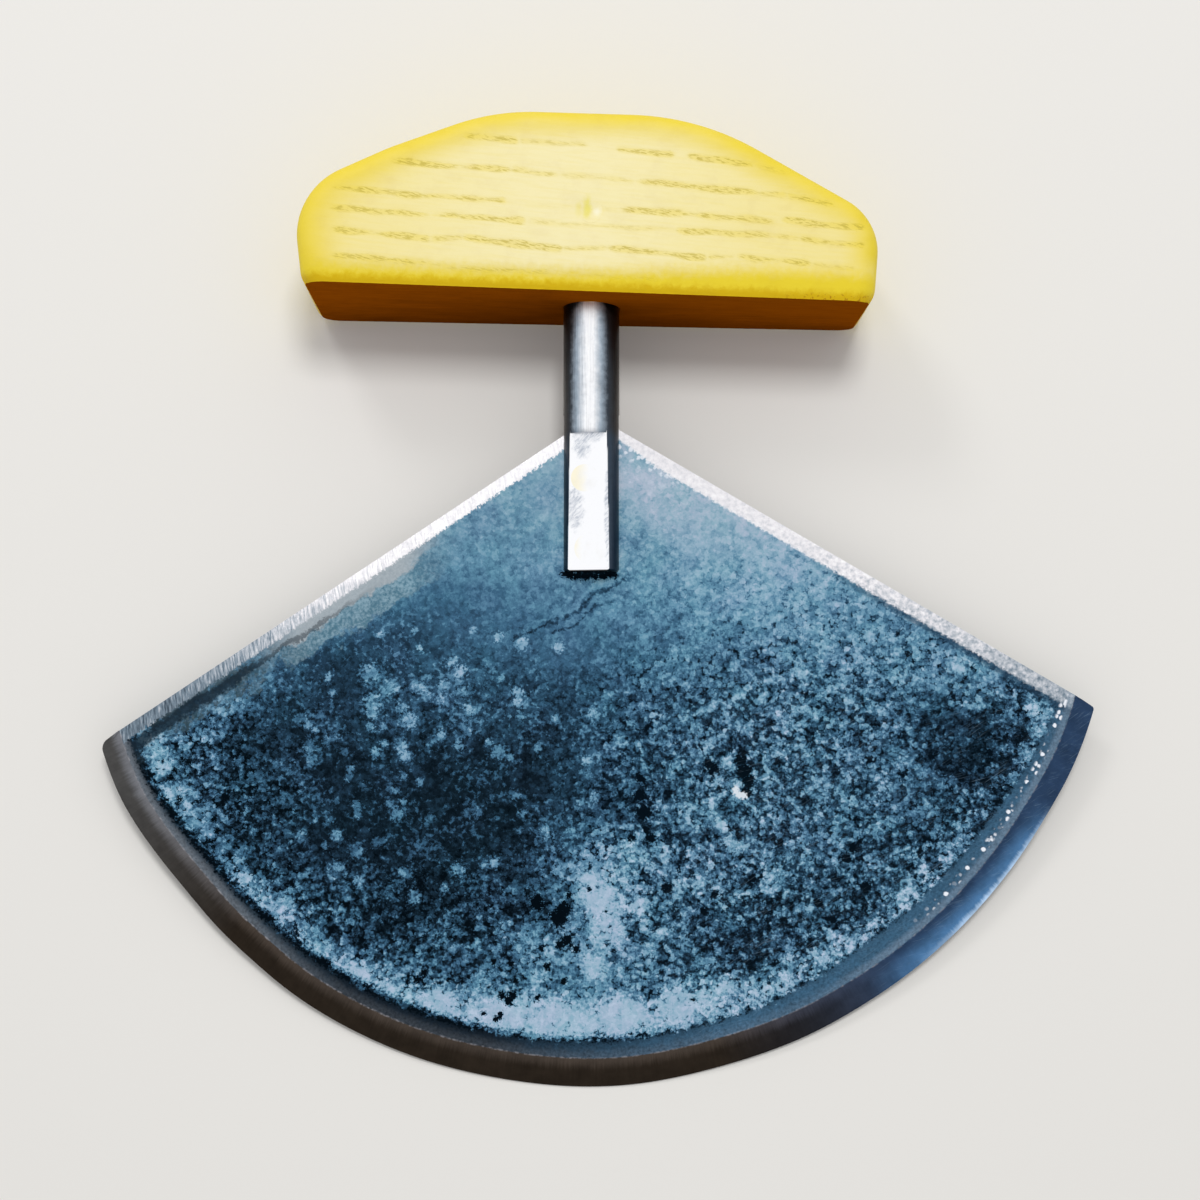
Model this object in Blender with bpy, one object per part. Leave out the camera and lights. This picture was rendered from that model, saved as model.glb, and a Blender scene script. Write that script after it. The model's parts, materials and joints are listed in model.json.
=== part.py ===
"""Ulu knife: a fan-shaped blade held in the slotted foot of a round steel stem by two flush rivets, and
a painted wooden handle pinned crosswise on the stem's upper end.

Every piece is drawn in the knife's own axes, in metres: X along the handle, Y up the stem from the
centre of the cutting edge's arc, Z out of the side of the blade that carries the ground bevel. One empty
then lays the whole knife on its back, on the handle's back edge and the lowest point of the cutting edge.
"""

import math

import bmesh
import bpy
from mathutils import Matrix, Vector

# Clearances
FIT = 0.0003
OVERRUN = 0.002
SNAP = 0.000001

# Blade: a sector cut from a disc, its two straight sides meeting at an apex inside the stem's slot
BLADE_RADIUS = 0.0928
BLADE_THICKNESS = 0.002
APEX_HEIGHT = 0.025
APEX_OFFSET = 0.0005
LEFT_SIDE_ANGLE = math.radians(33.9)
RIGHT_SIDE_ANGLE = math.radians(30.5)
EDGE_THICKNESS = 0.0002
BEVEL_WIDTH = 0.005
TIP_BEVEL_WIDTH = 0.0041
LEFT_CHAMFER_WIDTH = 0.0021
RIGHT_CHAMFER_WIDTH = 0.0017
CHAMFER_DEPTH = 0.0004
LEFT_TIP_RADIUS = 0.0018
RIGHT_TIP_RADIUS = 0.0006

# Stem: a round bar with a slotted foot, filed flat front and back where the rivets are peened
STEM_DIAMETER = 0.010
STEM_BELOW_CENTRE = 0.0032
STEM_END_CHAMFER = 0.0004
FLAT_LENGTH = 0.0245
FRONT_FLAT_AT_FOOT = 0.0034
FRONT_FLAT_AT_TOP = 0.0041
FRONT_FLAT_TURN = math.radians(-8)
BACK_FLAT = 0.0042
TANG_LENGTH = 0.023

# Rivets, both peened into countersinks and filed flush with the stem
RIVET_SHANK = 0.0035
COUNTERSINK_DEPTH = 0.0009
UPPER_RIVET_HEIGHT = 0.0133
UPPER_RIVET_OFFSET = -0.0014
UPPER_RIVET_HEAD = 0.0048
LOWER_RIVET_HEIGHT = 0.0008
LOWER_RIVET_OFFSET = -0.0006
LOWER_RIVET_HEAD = 0.0054

# Handle: a block with a low crown, rounded all round before its slightly twisted underside was sawn
HANDLE_FOOT = 0.04435
HANDLE_LENGTH = 0.1023
HANDLE_HEIGHT = 0.0334
HANDLE_THICKNESS = 0.025
FRONT_UNDERSIDE_SLOPE = math.radians(2.5)
BACK_UNDERSIDE_SLOPE = math.radians(1.0)
EDGE_ROUNDING = 0.0032
SAWN_OFF = 0.0012
LOWER_CORNER_RADIUS = 0.005
LEFT_SHOULDER_RADIUS = 0.0195
RIGHT_SHOULDER_RADIUS = 0.0105
LEFT_BROW_RADIUS = 0.048
LEFT_CROWN_RADIUS = 0.040
RIGHT_CROWN_RADIUS = 0.0465

# The handle's corners, counter-clockwise from the lower left: along it from the stem's axis as a share
# of its length, and above its foot as a share of its height
HANDLE_CORNER_SHARES = (
    (-0.493, 0.0),
    (0.482, 0.0),
    (0.496, 0.419),
    (0.186, 0.967),
    (-0.167, 1.0),
    (-0.351, 0.805),
    (-0.515, 0.572),
)
HANDLE_CORNER_RADII = (
    LOWER_CORNER_RADIUS,
    LOWER_CORNER_RADIUS,
    RIGHT_SHOULDER_RADIUS,
    RIGHT_CROWN_RADIUS,
    LEFT_CROWN_RADIUS,
    LEFT_BROW_RADIUS,
    LEFT_SHOULDER_RADIUS,
)

# Cross pin through handle and tang, and the filler that hides its front end
PIN_DIAMETER = 0.003
PIN_ABOVE_FOOT = 0.0145
PIN_BACK_REACH = 0.0085
PIN_CHAMFER = 0.0003
PLUG_DIAMETER = 0.004
PLUG_DEPTH = 0.003
PLUG_SINK = 0.0003

# How finely round shapes are divided
DISC_SEGMENTS = 240
BAR_SEGMENTS = 64
RIVET_SEGMENTS = 32
CORNER_STEPS = 6
ROUNDING_STEPS = 5
TWIST_CUTS = 23
TIP_CUTS = 4
SHARP_ANGLE = math.radians(32)


def clear_scene():
    for item in list(bpy.data.objects):
        bpy.data.objects.remove(item, do_unlink=True)


def make_material(name, colour, roughness, metallic):
    material = bpy.data.materials.new(name)
    material.use_nodes = True
    shader = material.node_tree.nodes["Principled BSDF"]
    shader.inputs["Base Color"].default_value = (*colour, 1.0)
    shader.inputs["Roughness"].default_value = roughness
    shader.inputs["Metallic"].default_value = metallic
    material.diffuse_color = (*colour, 1.0)
    return material


def add_object(name, bm, parent, location, material=None):
    """Makes an object of a bmesh, which it frees. With no material it is a cutter or a guide."""
    bmesh.ops.recalc_face_normals(bm, faces=bm.faces)
    mesh = bpy.data.meshes.new(name)
    bm.to_mesh(mesh)
    bm.free()
    piece = bpy.data.objects.new(name, mesh)
    bpy.context.scene.collection.objects.link(piece)
    piece.parent = parent
    piece.location = location
    if material is None:
        piece.hide_render = True
        piece.display_type = "WIRE"
    else:
        mesh.materials.append(material)
        mesh.shade_smooth()
        mesh.set_sharp_from_angle(angle=SHARP_ANGLE)
    return piece


def add_boolean(piece, other, operation="DIFFERENCE"):
    boolean = piece.modifiers.new(other.name, "BOOLEAN")
    boolean.operation = operation
    boolean.solver = "EXACT"
    boolean.object = other


def slice_off(bm, point, normal):
    """Cuts away what lies beyond a plane, on the side its normal points to, and closes the cut."""
    geometry = bm.verts[:] + bm.edges[:] + bm.faces[:]
    cut = bmesh.ops.bisect_plane(
        bm, geom=geometry, dist=SNAP, plane_co=point, plane_no=normal, clear_outer=True
    )
    rim = [item for item in cut["geom_cut"] if isinstance(item, bmesh.types.BMEdge)]
    if rim:
        bmesh.ops.edgeloop_fill(bm, edges=rim)


def raise_face(bm, face, height):
    """Extrudes a level face upwards and returns the new face."""
    made = bmesh.ops.extrude_face_region(bm, geom=[face])["geom"]
    corners = [item for item in made if isinstance(item, bmesh.types.BMVert)]
    bmesh.ops.translate(bm, verts=corners, vec=(0, 0, height))
    return next(item for item in made if isinstance(item, bmesh.types.BMFace))


def block(low, high):
    """A box between two corners."""
    size = high - low
    bm = bmesh.new()
    bmesh.ops.create_cube(bm, size=1)
    bmesh.ops.scale(bm, verts=bm.verts, vec=size)
    bmesh.ops.translate(bm, verts=bm.verts, vec=low + size / 2)
    return bm


def turned(profile, segments):
    """A solid turned about Z from (radius, height) points, which start and end on the axis."""
    bm = bmesh.new()
    corners = [bm.verts.new((radius, 0, height)) for radius, height in profile]
    edges = [bm.edges.new(pair) for pair in zip(corners, corners[1:])]
    bmesh.ops.spin(
        bm,
        geom=corners + edges,
        cent=(0, 0, 0),
        axis=(0, 0, 1),
        angle=math.tau,
        steps=segments,
        use_merge=True,
    )
    bmesh.ops.remove_doubles(bm, verts=bm.verts, dist=SNAP)
    return bm


def rod(radius, low, high, chamfer=0):
    """A round rod along Z, with its ends chamfered."""
    return turned(
        (
            (0, low),
            (radius - chamfer, low),
            *(((radius, low + chamfer), (radius, high - chamfer)) if chamfer else ()),
            (radius - chamfer, high),
            (0, high),
        ),
        BAR_SEGMENTS if radius > PIN_DIAMETER else RIVET_SEGMENTS,
    )


def side_tip(side, inset=0):
    """Where a straight side, moved inwards by an inset, meets the arc, moved inwards as far.

    A side is -1 for the left and 1 for the right. Returns the point and the side's outward direction.
    """
    slope = LEFT_SIDE_ANGLE if side < 0 else RIGHT_SIDE_ANGLE
    along = Vector((side * math.cos(slope), -math.sin(slope), 0))
    outward = Vector((side * math.sin(slope), math.cos(slope), 0))
    start = Vector((APEX_OFFSET, APEX_HEIGHT, 0)) - outward * inset
    half = along.dot(start)
    beyond = start.length_squared - (BLADE_RADIUS - inset) ** 2
    return start + along * (math.sqrt(half * half - beyond) - half), outward


def round_blade_tip(bm, side, radius):
    """Rounds the corner between a straight side and the arc with a few flat cuts."""
    centre, outward = side_tip(side, radius)
    arc_outward = centre.normalized()
    for cut in range(1, TIP_CUTS + 1):
        share = cut / (TIP_CUTS + 1)
        direction = outward.lerp(arc_outward, share).normalized()
        slice_off(bm, centre + direction * radius, direction)


def chamfer_blade_side(bm, side, width):
    """Files the front arris of a straight side."""
    tip, outward = side_tip(side)
    front = Vector((0, 0, BLADE_THICKNESS / 2))
    slice_off(bm, tip - outward * width + front, outward * CHAMFER_DEPTH + Vector((0, 0, width)))


def blade_form():
    """A disc drawn in to the shoulder of its bevel, cut to a sector, chamfered and rounded at the tips."""
    tip_drop = -side_tip(1)[0].normalized().y
    shift = (BEVEL_WIDTH - TIP_BEVEL_WIDTH) / (1 - tip_drop)
    shoulder_radius = BLADE_RADIUS - BEVEL_WIDTH + shift

    bm = bmesh.new()
    bmesh.ops.create_circle(bm, cap_ends=True, segments=DISC_SEGMENTS, radius=BLADE_RADIUS)
    bmesh.ops.translate(bm, verts=bm.verts, vec=(0, 0, -BLADE_THICKNESS / 2))
    bm.faces.ensure_lookup_table()
    edge_face = raise_face(bm, bm.faces[0], EDGE_THICKNESS)
    front_face = raise_face(bm, edge_face, BLADE_THICKNESS - EDGE_THICKNESS)
    bmesh.ops.delete(bm, geom=[edge_face], context="FACES_ONLY")
    shrink = shoulder_radius / BLADE_RADIUS
    bmesh.ops.scale(bm, verts=front_face.verts, vec=(shrink, shrink, 1))
    bmesh.ops.translate(bm, verts=front_face.verts, vec=(0, shift, 0))

    for side in (-1, 1):
        tip, outward = side_tip(side)
        slice_off(bm, tip, outward)
    round_blade_tip(bm, -1, LEFT_TIP_RADIUS)
    round_blade_tip(bm, 1, RIGHT_TIP_RADIUS)
    chamfer_blade_side(bm, -1, LEFT_CHAMFER_WIDTH)
    chamfer_blade_side(bm, 1, RIGHT_CHAMFER_WIDTH)
    return bm


def bar_form():
    """The stem's plain bar, standing along Y from its foot at zero."""
    length = STEM_BELOW_CENTRE + HANDLE_FOOT + TANG_LENGTH
    bm = rod(STEM_DIAMETER / 2, 0, length, STEM_END_CHAMFER)
    bmesh.ops.rotate(bm, verts=bm.verts, matrix=Matrix.Rotation(-math.pi / 2, 3, "X"))
    return bm


def front_flat_at(height, offset):
    """How far the front flat lies before the stem's centre, at a height and an offset from its axis."""
    share = (height + STEM_BELOW_CENTRE) / FLAT_LENGTH
    distance = FRONT_FLAT_AT_FOOT + (FRONT_FLAT_AT_TOP - FRONT_FLAT_AT_FOOT) * share
    return (distance - offset * math.sin(FRONT_FLAT_TURN)) / math.cos(FRONT_FLAT_TURN)


def file_flats(bar, parent):
    """Cuts both flats into a bar: the front one is turned to the left and slopes in towards the foot."""
    reach = STEM_DIAMETER / 2 + OVERRUN
    top = FLAT_LENGTH - STEM_BELOW_CENTRE
    form = block(Vector((-reach, -FLAT_LENGTH - OVERRUN, 0)), Vector((reach, 0, reach)))
    place = Matrix.Rotation(FRONT_FLAT_TURN, 3, "Y") @ Vector((0, top, FRONT_FLAT_AT_TOP))
    front = add_object("front_flat_cutter", form, parent, place)
    front.rotation_euler.x = math.atan2(FRONT_FLAT_AT_TOP - FRONT_FLAT_AT_FOOT, FLAT_LENGTH)
    front.rotation_euler.y = FRONT_FLAT_TURN
    form = block(Vector((-reach, -FLAT_LENGTH - OVERRUN, -reach)), Vector((reach, 0, 0)))
    back = add_object("back_flat_cutter", form, parent, (0, top, -BACK_FLAT))
    for cutter in (front, back):
        add_boolean(bar, cutter)


def rivet_form(offset, height, head, growth=0):
    """A rivet along Z with a countersunk head at each end, its cones running on past the stem's flats.

    Growth widens it all round, which gives the shape of the hole that it fills.
    """
    shank_radius = RIVET_SHANK / 2 + growth
    head_radius = head / 2 + growth
    flare = (head_radius - shank_radius) / COUNTERSINK_DEPTH
    end_radius = head_radius + flare * OVERRUN
    front = front_flat_at(height, offset)
    return turned(
        (
            (0, -BACK_FLAT - OVERRUN),
            (end_radius, -BACK_FLAT - OVERRUN),
            (shank_radius, COUNTERSINK_DEPTH - BACK_FLAT),
            (shank_radius, front - COUNTERSINK_DEPTH),
            (end_radius, front + OVERRUN),
            (0, front + OVERRUN),
        ),
        RIVET_SEGMENTS,
    )


def handle_outline(slope):
    """The block's outline before sawing, with its underside falling to the right at a slope."""
    corners = []
    for along_share, up_share in HANDLE_CORNER_SHARES:
        along = along_share * HANDLE_LENGTH
        up = up_share * HANDLE_HEIGHT
        corners.append(Vector((along, up if up_share else -along * math.tan(slope) - SAWN_OFF)))
    points = []
    for index, corner in enumerate(corners):
        before = corners[index - 1] - corner
        after = corners[(index + 1) % len(corners)] - corner
        half_angle = before.angle(after) / 2
        wanted = HANDLE_CORNER_RADII[index] / math.tan(half_angle)
        reach = min(wanted, before.length / 2, after.length / 2)
        inwards = (before.normalized() + after.normalized()).normalized()
        centre = corner + inwards * reach / math.cos(half_angle)
        arm = corner + before.normalized() * reach - centre
        for step in range(CORNER_STEPS + 1):
            turn = (math.pi - 2 * half_angle) * step / CORNER_STEPS
            points.append(centre + Matrix.Rotation(turn, 2) @ arm)
    return points


def handle_form():
    """The back and front outlines joined by straight lines, with the edges between them rounded."""
    bm = bmesh.new()
    rims = []
    for slope, level in (
        (BACK_UNDERSIDE_SLOPE, -HANDLE_THICKNESS / 2),
        (FRONT_UNDERSIDE_SLOPE, HANDLE_THICKNESS / 2),
    ):
        ring = [bm.verts.new((point.x, point.y, level)) for point in handle_outline(slope)]
        rims += bm.faces.new(ring).edges
    bmesh.ops.bridge_loops(bm, edges=rims)
    bmesh.ops.recalc_face_normals(bm, faces=bm.faces)
    bmesh.ops.bevel(
        bm,
        geom=rims,
        offset=EDGE_ROUNDING,
        offset_type="OFFSET",
        segments=ROUNDING_STEPS,
        profile=0.5,
        affect="EDGES",
        clamp_overlap=True,
        material=-1,
    )
    return bm


def saw_form():
    """What the saw takes off under the handle: a block with its top twisted as the underside is."""
    depth = HANDLE_THICKNESS / 2 + OVERRUN
    bm = block(Vector((-HANDLE_LENGTH, -HANDLE_HEIGHT, -depth)), Vector((HANDLE_LENGTH, 0, depth)))
    along = [edge for edge in bm.edges if edge.verts[0].co.x != edge.verts[1].co.x]
    bmesh.ops.subdivide_edges(bm, edges=along, cuts=TWIST_CUTS)
    for vert in bm.verts:
        if vert.co.y > -SNAP:
            share = vert.co.z / HANDLE_THICKNESS
            middle = (FRONT_UNDERSIDE_SLOPE + BACK_UNDERSIDE_SLOPE) / 2
            slope = middle + (FRONT_UNDERSIDE_SLOPE - BACK_UNDERSIDE_SLOPE) * share
            vert.co.y = -vert.co.x * math.tan(slope)
    return bm


def lay_on_back(rest, pieces):
    """Tilts the knife until handle and edge touch the ground, with the origin under its box's middle."""
    blade_to_rounding = BLADE_RADIUS + HANDLE_FOOT - SAWN_OFF + EDGE_ROUNDING
    rounding_below_blade = HANDLE_THICKNESS / 2 - EDGE_ROUNDING - BLADE_THICKNESS / 2
    span = math.hypot(blade_to_rounding, rounding_below_blade)
    lean = math.atan2(rounding_below_blade, blade_to_rounding)
    rest.rotation_euler.x = lean + math.asin(EDGE_ROUNDING / span)
    bpy.context.view_layer.update()
    graph = bpy.context.evaluated_depsgraph_get()
    points = []
    for piece in pieces:
        evaluated = piece.evaluated_get(graph)
        placed = evaluated.matrix_world
        points += [placed @ vertex.co for vertex in evaluated.to_mesh().vertices]
        evaluated.to_mesh_clear()
    middle = [(min(p[axis] for p in points) + max(p[axis] for p in points)) / 2 for axis in (0, 1)]
    rest.location = (-middle[0], -middle[1], -min(p.z for p in points))


def main():
    clear_scene()
    forged_steel = make_material("forged_steel", (0.10, 0.16, 0.19), 0.5, 0.7)
    bright_steel = make_material("bright_steel", (0.62, 0.63, 0.65), 0.28, 1.0)
    pin_steel = make_material("pin_steel", (0.45, 0.45, 0.46), 0.4, 1.0)
    upper_brass = make_material("upper_rivet_brass", (0.80, 0.70, 0.48), 0.3, 1.0)
    lower_brass = make_material("lower_rivet_brass", (0.83, 0.76, 0.58), 0.3, 1.0)
    painted_ash = make_material("painted_ash", (0.86, 0.66, 0.10), 0.45, 0.0)
    painted_filler = make_material("painted_filler", (0.85, 0.68, 0.16), 0.45, 0.0)

    rest = bpy.data.objects.new("knife_rest", None)
    bpy.context.scene.collection.objects.link(rest)
    foot = (0, -STEM_BELOW_CENTRE, 0)
    seat = Vector((0, HANDLE_FOOT, 0))
    pin_place = seat + Vector((0, PIN_ABOVE_FOOT, 0))

    # The filed bar is both the stem before it is slotted and drilled, and what the rivets are filed to
    filed_bar = add_object("filed_bar_guide", bar_form(), rest, foot)
    stem = add_object("stem", bar_form(), rest, foot, bright_steel)
    for bar in (filed_bar, stem):
        file_flats(bar, rest)
    reach = STEM_DIAMETER / 2 + OVERRUN
    slot_wall = BLADE_THICKNESS / 2 + FIT
    low = Vector((-reach, -STEM_BELOW_CENTRE - OVERRUN, -slot_wall))
    high = Vector((reach, APEX_HEIGHT + FIT, slot_wall))
    add_boolean(stem, add_object("slot_cutter", block(low, high), rest, (0, 0, 0)))

    blade = add_object("blade", blade_form(), rest, (0, 0, 0), forged_steel)

    rivets = []
    for name, offset, height, head, brass in (
        ("upper_rivet", UPPER_RIVET_OFFSET, UPPER_RIVET_HEIGHT, UPPER_RIVET_HEAD, upper_brass),
        ("lower_rivet", LOWER_RIVET_OFFSET, LOWER_RIVET_HEIGHT, LOWER_RIVET_HEAD, lower_brass),
    ):
        place = (offset, height, 0)
        rivet = add_object(name, rivet_form(offset, height, head), rest, place, brass)
        add_boolean(rivet, filed_bar, "INTERSECT")
        rivets.append(rivet)
        growing = rivet_form(offset, height, head, FIT)
        hole = add_object(name + "_hole_cutter", growing, rest, place)
        add_boolean(stem, hole)
        add_boolean(blade, hole)

    handle = add_object("handle", handle_form(), rest, seat, painted_ash)
    add_boolean(handle, add_object("saw_cutter", saw_form(), rest, seat))
    bore = rod(STEM_DIAMETER / 2 + FIT, -HANDLE_HEIGHT, TANG_LENGTH + FIT)
    bmesh.ops.rotate(bore, verts=bore.verts, matrix=Matrix.Rotation(-math.pi / 2, 3, "X"))
    add_boolean(handle, add_object("tang_bore_cutter", bore, rest, seat))

    face = HANDLE_THICKNESS / 2
    plug_floor = face - PLUG_SINK - PLUG_DEPTH
    pin_end = plug_floor - FIT
    pin = rod(PIN_DIAMETER / 2, -PIN_BACK_REACH, pin_end, PIN_CHAMFER)
    tang_pin = add_object("tang_pin", pin, rest, pin_place, pin_steel)
    pin_bore = rod(PIN_DIAMETER / 2 + FIT, -PIN_BACK_REACH - FIT, face + OVERRUN)
    pin_cutter = add_object("pin_bore_cutter", pin_bore, rest, pin_place)
    add_boolean(stem, pin_cutter)
    add_boolean(handle, pin_cutter)
    plug = rod(PLUG_DIAMETER / 2, plug_floor, face - PLUG_SINK)
    pin_plug = add_object("pin_plug", plug, rest, pin_place, painted_filler)
    plug_bore = rod(PLUG_DIAMETER / 2 + FIT, pin_end, face + OVERRUN)
    add_boolean(handle, add_object("plug_bore_cutter", plug_bore, rest, pin_place))

    lay_on_back(rest, [blade, stem, *rivets, handle, tang_pin, pin_plug])


main()
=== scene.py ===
"""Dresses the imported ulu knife: a forged and ground blade, a bright riveted stem and a painted ash handle.

Pieces are drawn in the knife's own axes, in metres: X along the handle, Y up the stem from the centre of
the cutting edge's arc, Z out of the side that carries the bevel. Each is then laid where the frame lies.
"""

import json
import math

import bmesh
import bpy
from bpy.props import FloatProperty, FloatVectorProperty, PointerProperty
from mathutils import Matrix, Vector, noise

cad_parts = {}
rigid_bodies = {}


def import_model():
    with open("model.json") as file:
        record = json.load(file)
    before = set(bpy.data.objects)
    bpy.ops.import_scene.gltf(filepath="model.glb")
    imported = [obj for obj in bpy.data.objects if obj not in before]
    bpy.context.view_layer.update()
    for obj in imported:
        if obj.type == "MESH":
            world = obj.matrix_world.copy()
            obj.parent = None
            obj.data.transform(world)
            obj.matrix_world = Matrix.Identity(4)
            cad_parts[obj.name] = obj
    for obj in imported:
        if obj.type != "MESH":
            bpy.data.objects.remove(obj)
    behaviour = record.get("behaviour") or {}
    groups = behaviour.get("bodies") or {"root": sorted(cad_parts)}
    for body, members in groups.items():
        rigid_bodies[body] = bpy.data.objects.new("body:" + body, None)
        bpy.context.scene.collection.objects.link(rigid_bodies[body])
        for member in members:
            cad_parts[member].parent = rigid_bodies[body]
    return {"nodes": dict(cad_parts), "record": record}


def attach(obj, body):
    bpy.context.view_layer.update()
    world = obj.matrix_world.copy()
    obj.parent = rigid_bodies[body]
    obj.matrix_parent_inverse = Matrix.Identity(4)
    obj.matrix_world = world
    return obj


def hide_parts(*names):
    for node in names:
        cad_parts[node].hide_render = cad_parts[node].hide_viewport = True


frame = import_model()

bl_info = {
    "name": "Ulu Knife Dressing",
    "version": (1, 0, 0),
    "blender": (4, 5, 0),
    "location": "3D View > Sidebar > Ulu",
    "description": "Dresses the packed ulu knife in forged steel, brass and painted ash",
    "category": "Add Mesh",
}

MM = 0.001
SNAP = 0.000001
BODY = "root"


def length(name, description, default):
    return FloatProperty(name=name, description=description, default=default, unit="LENGTH", precision=5)


def slope(name, description, degrees):
    return FloatProperty(name=name, description=description, default=math.radians(degrees), unit="ROTATION")


def amount(name, description, default):
    return FloatProperty(name=name, description=description, default=default, min=0, soft_max=1)


def linear(byte):
    """A display value from 0 to 255 as the light it stands for."""
    share = byte / 255
    return share / 12.92 if share <= 0.04045 else ((share + 0.055) / 1.055) ** 2.4


def colour(name, description, red, green, blue):
    return FloatVectorProperty(
        name=name,
        description=description,
        default=(linear(red), linear(green), linear(blue)),
        subtype="COLOR",
        min=0,
        max=1,
    )


class UluBladeSizes(bpy.types.PropertyGroup):
    """The blade's sizes"""

    radius: length("Radius", "Radius of the cutting edge's arc", 0.0928)
    thickness: length("Thickness", "Thickness of the blade's plate", 0.002)
    apex_height: length("Apex height", "Where the straight sides meet, above the arc's centre", 0.025)
    apex_offset: length("Apex offset", "Where the straight sides meet, right of the stem's axis", 0.0005)
    left_angle: slope("Left side", "Fall of the left side from the apex", 33.9)
    right_angle: slope("Right side", "Fall of the right side from the apex", 30.5)
    edge_thickness: length("Edge thickness", "Thickness left at the cutting edge", 0.0002)
    bevel_width: length("Bevel width", "Width of the ground bevel at the middle of the arc", 0.005)
    tip_bevel_width: length("Tip bevel width", "Width of the ground bevel at the tips", 0.0041)
    left_chamfer: length("Left chamfer", "Width filed along the left side", 0.0021)
    right_chamfer: length("Right chamfer", "Width filed along the right side", 0.0017)
    chamfer_depth: length("Chamfer depth", "Depth filed away at either side", 0.0004)
    left_tip: length("Left tip radius", "Rounding of the left tip", 0.0018)
    right_tip: length("Right tip radius", "Rounding of the right tip", 0.0006)
    cell: length("Relief grid", "Spacing of the grid that carries the hammered relief", 0.0018)


class UluStemSizes(bpy.types.PropertyGroup):
    """The stem's and the rivets' sizes"""

    diameter: length("Diameter", "Diameter of the round bar", 0.010)
    below_centre: length("Foot", "How far the foot reaches below the arc's centre", 0.0032)
    end_chamfer: length("End chamfer", "Chamfer round the foot", 0.0004)
    flat_length: length("Flat length", "Length of the filed flats from the foot", 0.0245)
    flat_at_foot: length("Flat at foot", "Front flat's distance from the axis, at the foot", 0.0034)
    flat_at_top: length("Flat at top", "Front flat's distance from the axis, at its top", 0.0038)
    flat_turn: slope("Flat turn", "Turn of the front flat about the stem's axis", -8)
    back_flat: length("Back flat", "Back flat's distance from the axis", 0.0042)
    tang: length("Tang", "Length hidden in the handle", 0.023)
    shank: length("Rivet shank", "Diameter of the rivets' shanks", 0.0035)
    countersink: length("Countersink", "Depth of the rivets' countersinks", 0.0009)


class UluHandleSizes(bpy.types.PropertyGroup):
    """The handle's sizes"""

    foot: length("Foot", "Height of the handle's underside above the arc's centre", 0.0440)
    long_side: length("Length", "Length of the handle", 0.1023)
    height: length("Height", "Height of the handle along the stem", 0.03373)
    thickness: length("Thickness", "Thickness of the handle", 0.025)
    front_slope: slope("Front underside", "Fall of the underside's front arris to the right", 2.15)
    back_slope: slope("Back underside", "Fall of the underside's back arris to the right", 1.1)
    front_lift: length("Front lift", "Rise of the underside's front arris above its back arris", 0.00085)
    rounding: length("Edge rounding", "Rounding of the long edges", 0.0032)
    sawn_off: length("Sawn off", "Depth sawn off the rounded block underneath", 0.0012)
    pin_above_foot: length("Pin", "Height of the cross pin above the underside", 0.01485)
    plug: length("Plug", "Diameter of the filler over the pin", 0.004)


class UluFinishes(bpy.types.PropertyGroup):
    """Colours of the finishes"""

    # Painted highlight: the pale cream stands for the glare on the middle of the handle's broad faces
    highlight_cream: colour("Rubbed paint", "Paint rubbed thin over the broad face", 249, 238, 186)
    yellow: colour("Full paint", "Paint left thick on edges and ends", 238, 213, 52)
    # Painted shade: the deep yellow darkens the paint along the rounded lower arris
    deep: colour("Deep paint", "Paint gathered along the lower arris", 214, 178, 14)
    pore: colour("Pores", "Paint sunk into the open grain", 188, 168, 58)
    # Painted shade: the ochre and, darker, the colour below stand for the shade on the handle's sawn
    # underside; the ochre also colours real nicks and dirt on the paint
    ochre: colour("Soiled paint", "Paint browned on the side of the fingers", 146, 74, 4)
    underside_shade: colour("Dark soiled paint", "The same where the hand never wipes it", 104, 50, 3)
    # The bright steel is also a painted reflection: the light mirrored along the bar's middle and on its
    # filed flat
    bright: colour("Bright steel", "Freshly rubbed steel", 250, 251, 254)
    oxide: colour("Flank oxide", "Dark oxide on the stem's flanks", 30, 30, 32)
    # Painted shade: this near black darkens the bar just under the handle and on the end of its foot
    grime_and_shade: colour("Grime", "Dirt held in corners", 14, 13, 13)
    brass: colour("Rivet brass", "Pale brass of the rivets", 251, 245, 222)
    # Painted reflection: these colours with the bright steel make the reflection across the round bar, dark
    # at the flanks and bright along the middle
    dark_flank_reflection: colour("Bar's flanks", "Brown scale left on the bar's flanks", 40, 30, 22)
    shoulder: colour("Bar's shoulders", "Thin dark scale where the bright middle ends", 60, 66, 74)
    drawn: colour("Drawn steel", "Grey drawn steel beside the bright middle", 160, 174, 188)
    pale_bevel: colour("Pale bevel", "Bevel worn grey at the left tip", 116, 118, 124)
    # Painted reflection: the brown stands for dark brown surroundings mirrored in the bevel
    brown_bevel_reflection: colour("Brown bevel", "Bevel tinged brown on the left and in the middle", 68, 60, 54)
    blue_bevel: colour("Blue bevel", "Bevel turned blue on the right", 42, 62, 90)
    # Painted glint: the pale blue of the bright places on the blue bevel
    bevel_glint: colour("Polished bevel", "Polished places on the blue bevel", 78, 122, 166)
    slate: colour("Slate band", "Ground band inside the bevel on the left", 46, 60, 72)
    dark_band: colour("Dark band", "Ground band inside the bevel left of the middle", 24, 34, 44)
    blue_band: colour("Blue band", "Ground band inside the bevel on the right", 58, 92, 118)
    worn_band: colour("Worn band", "Grey rubbed into the band beside the bevel", 150, 156, 164)


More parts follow.
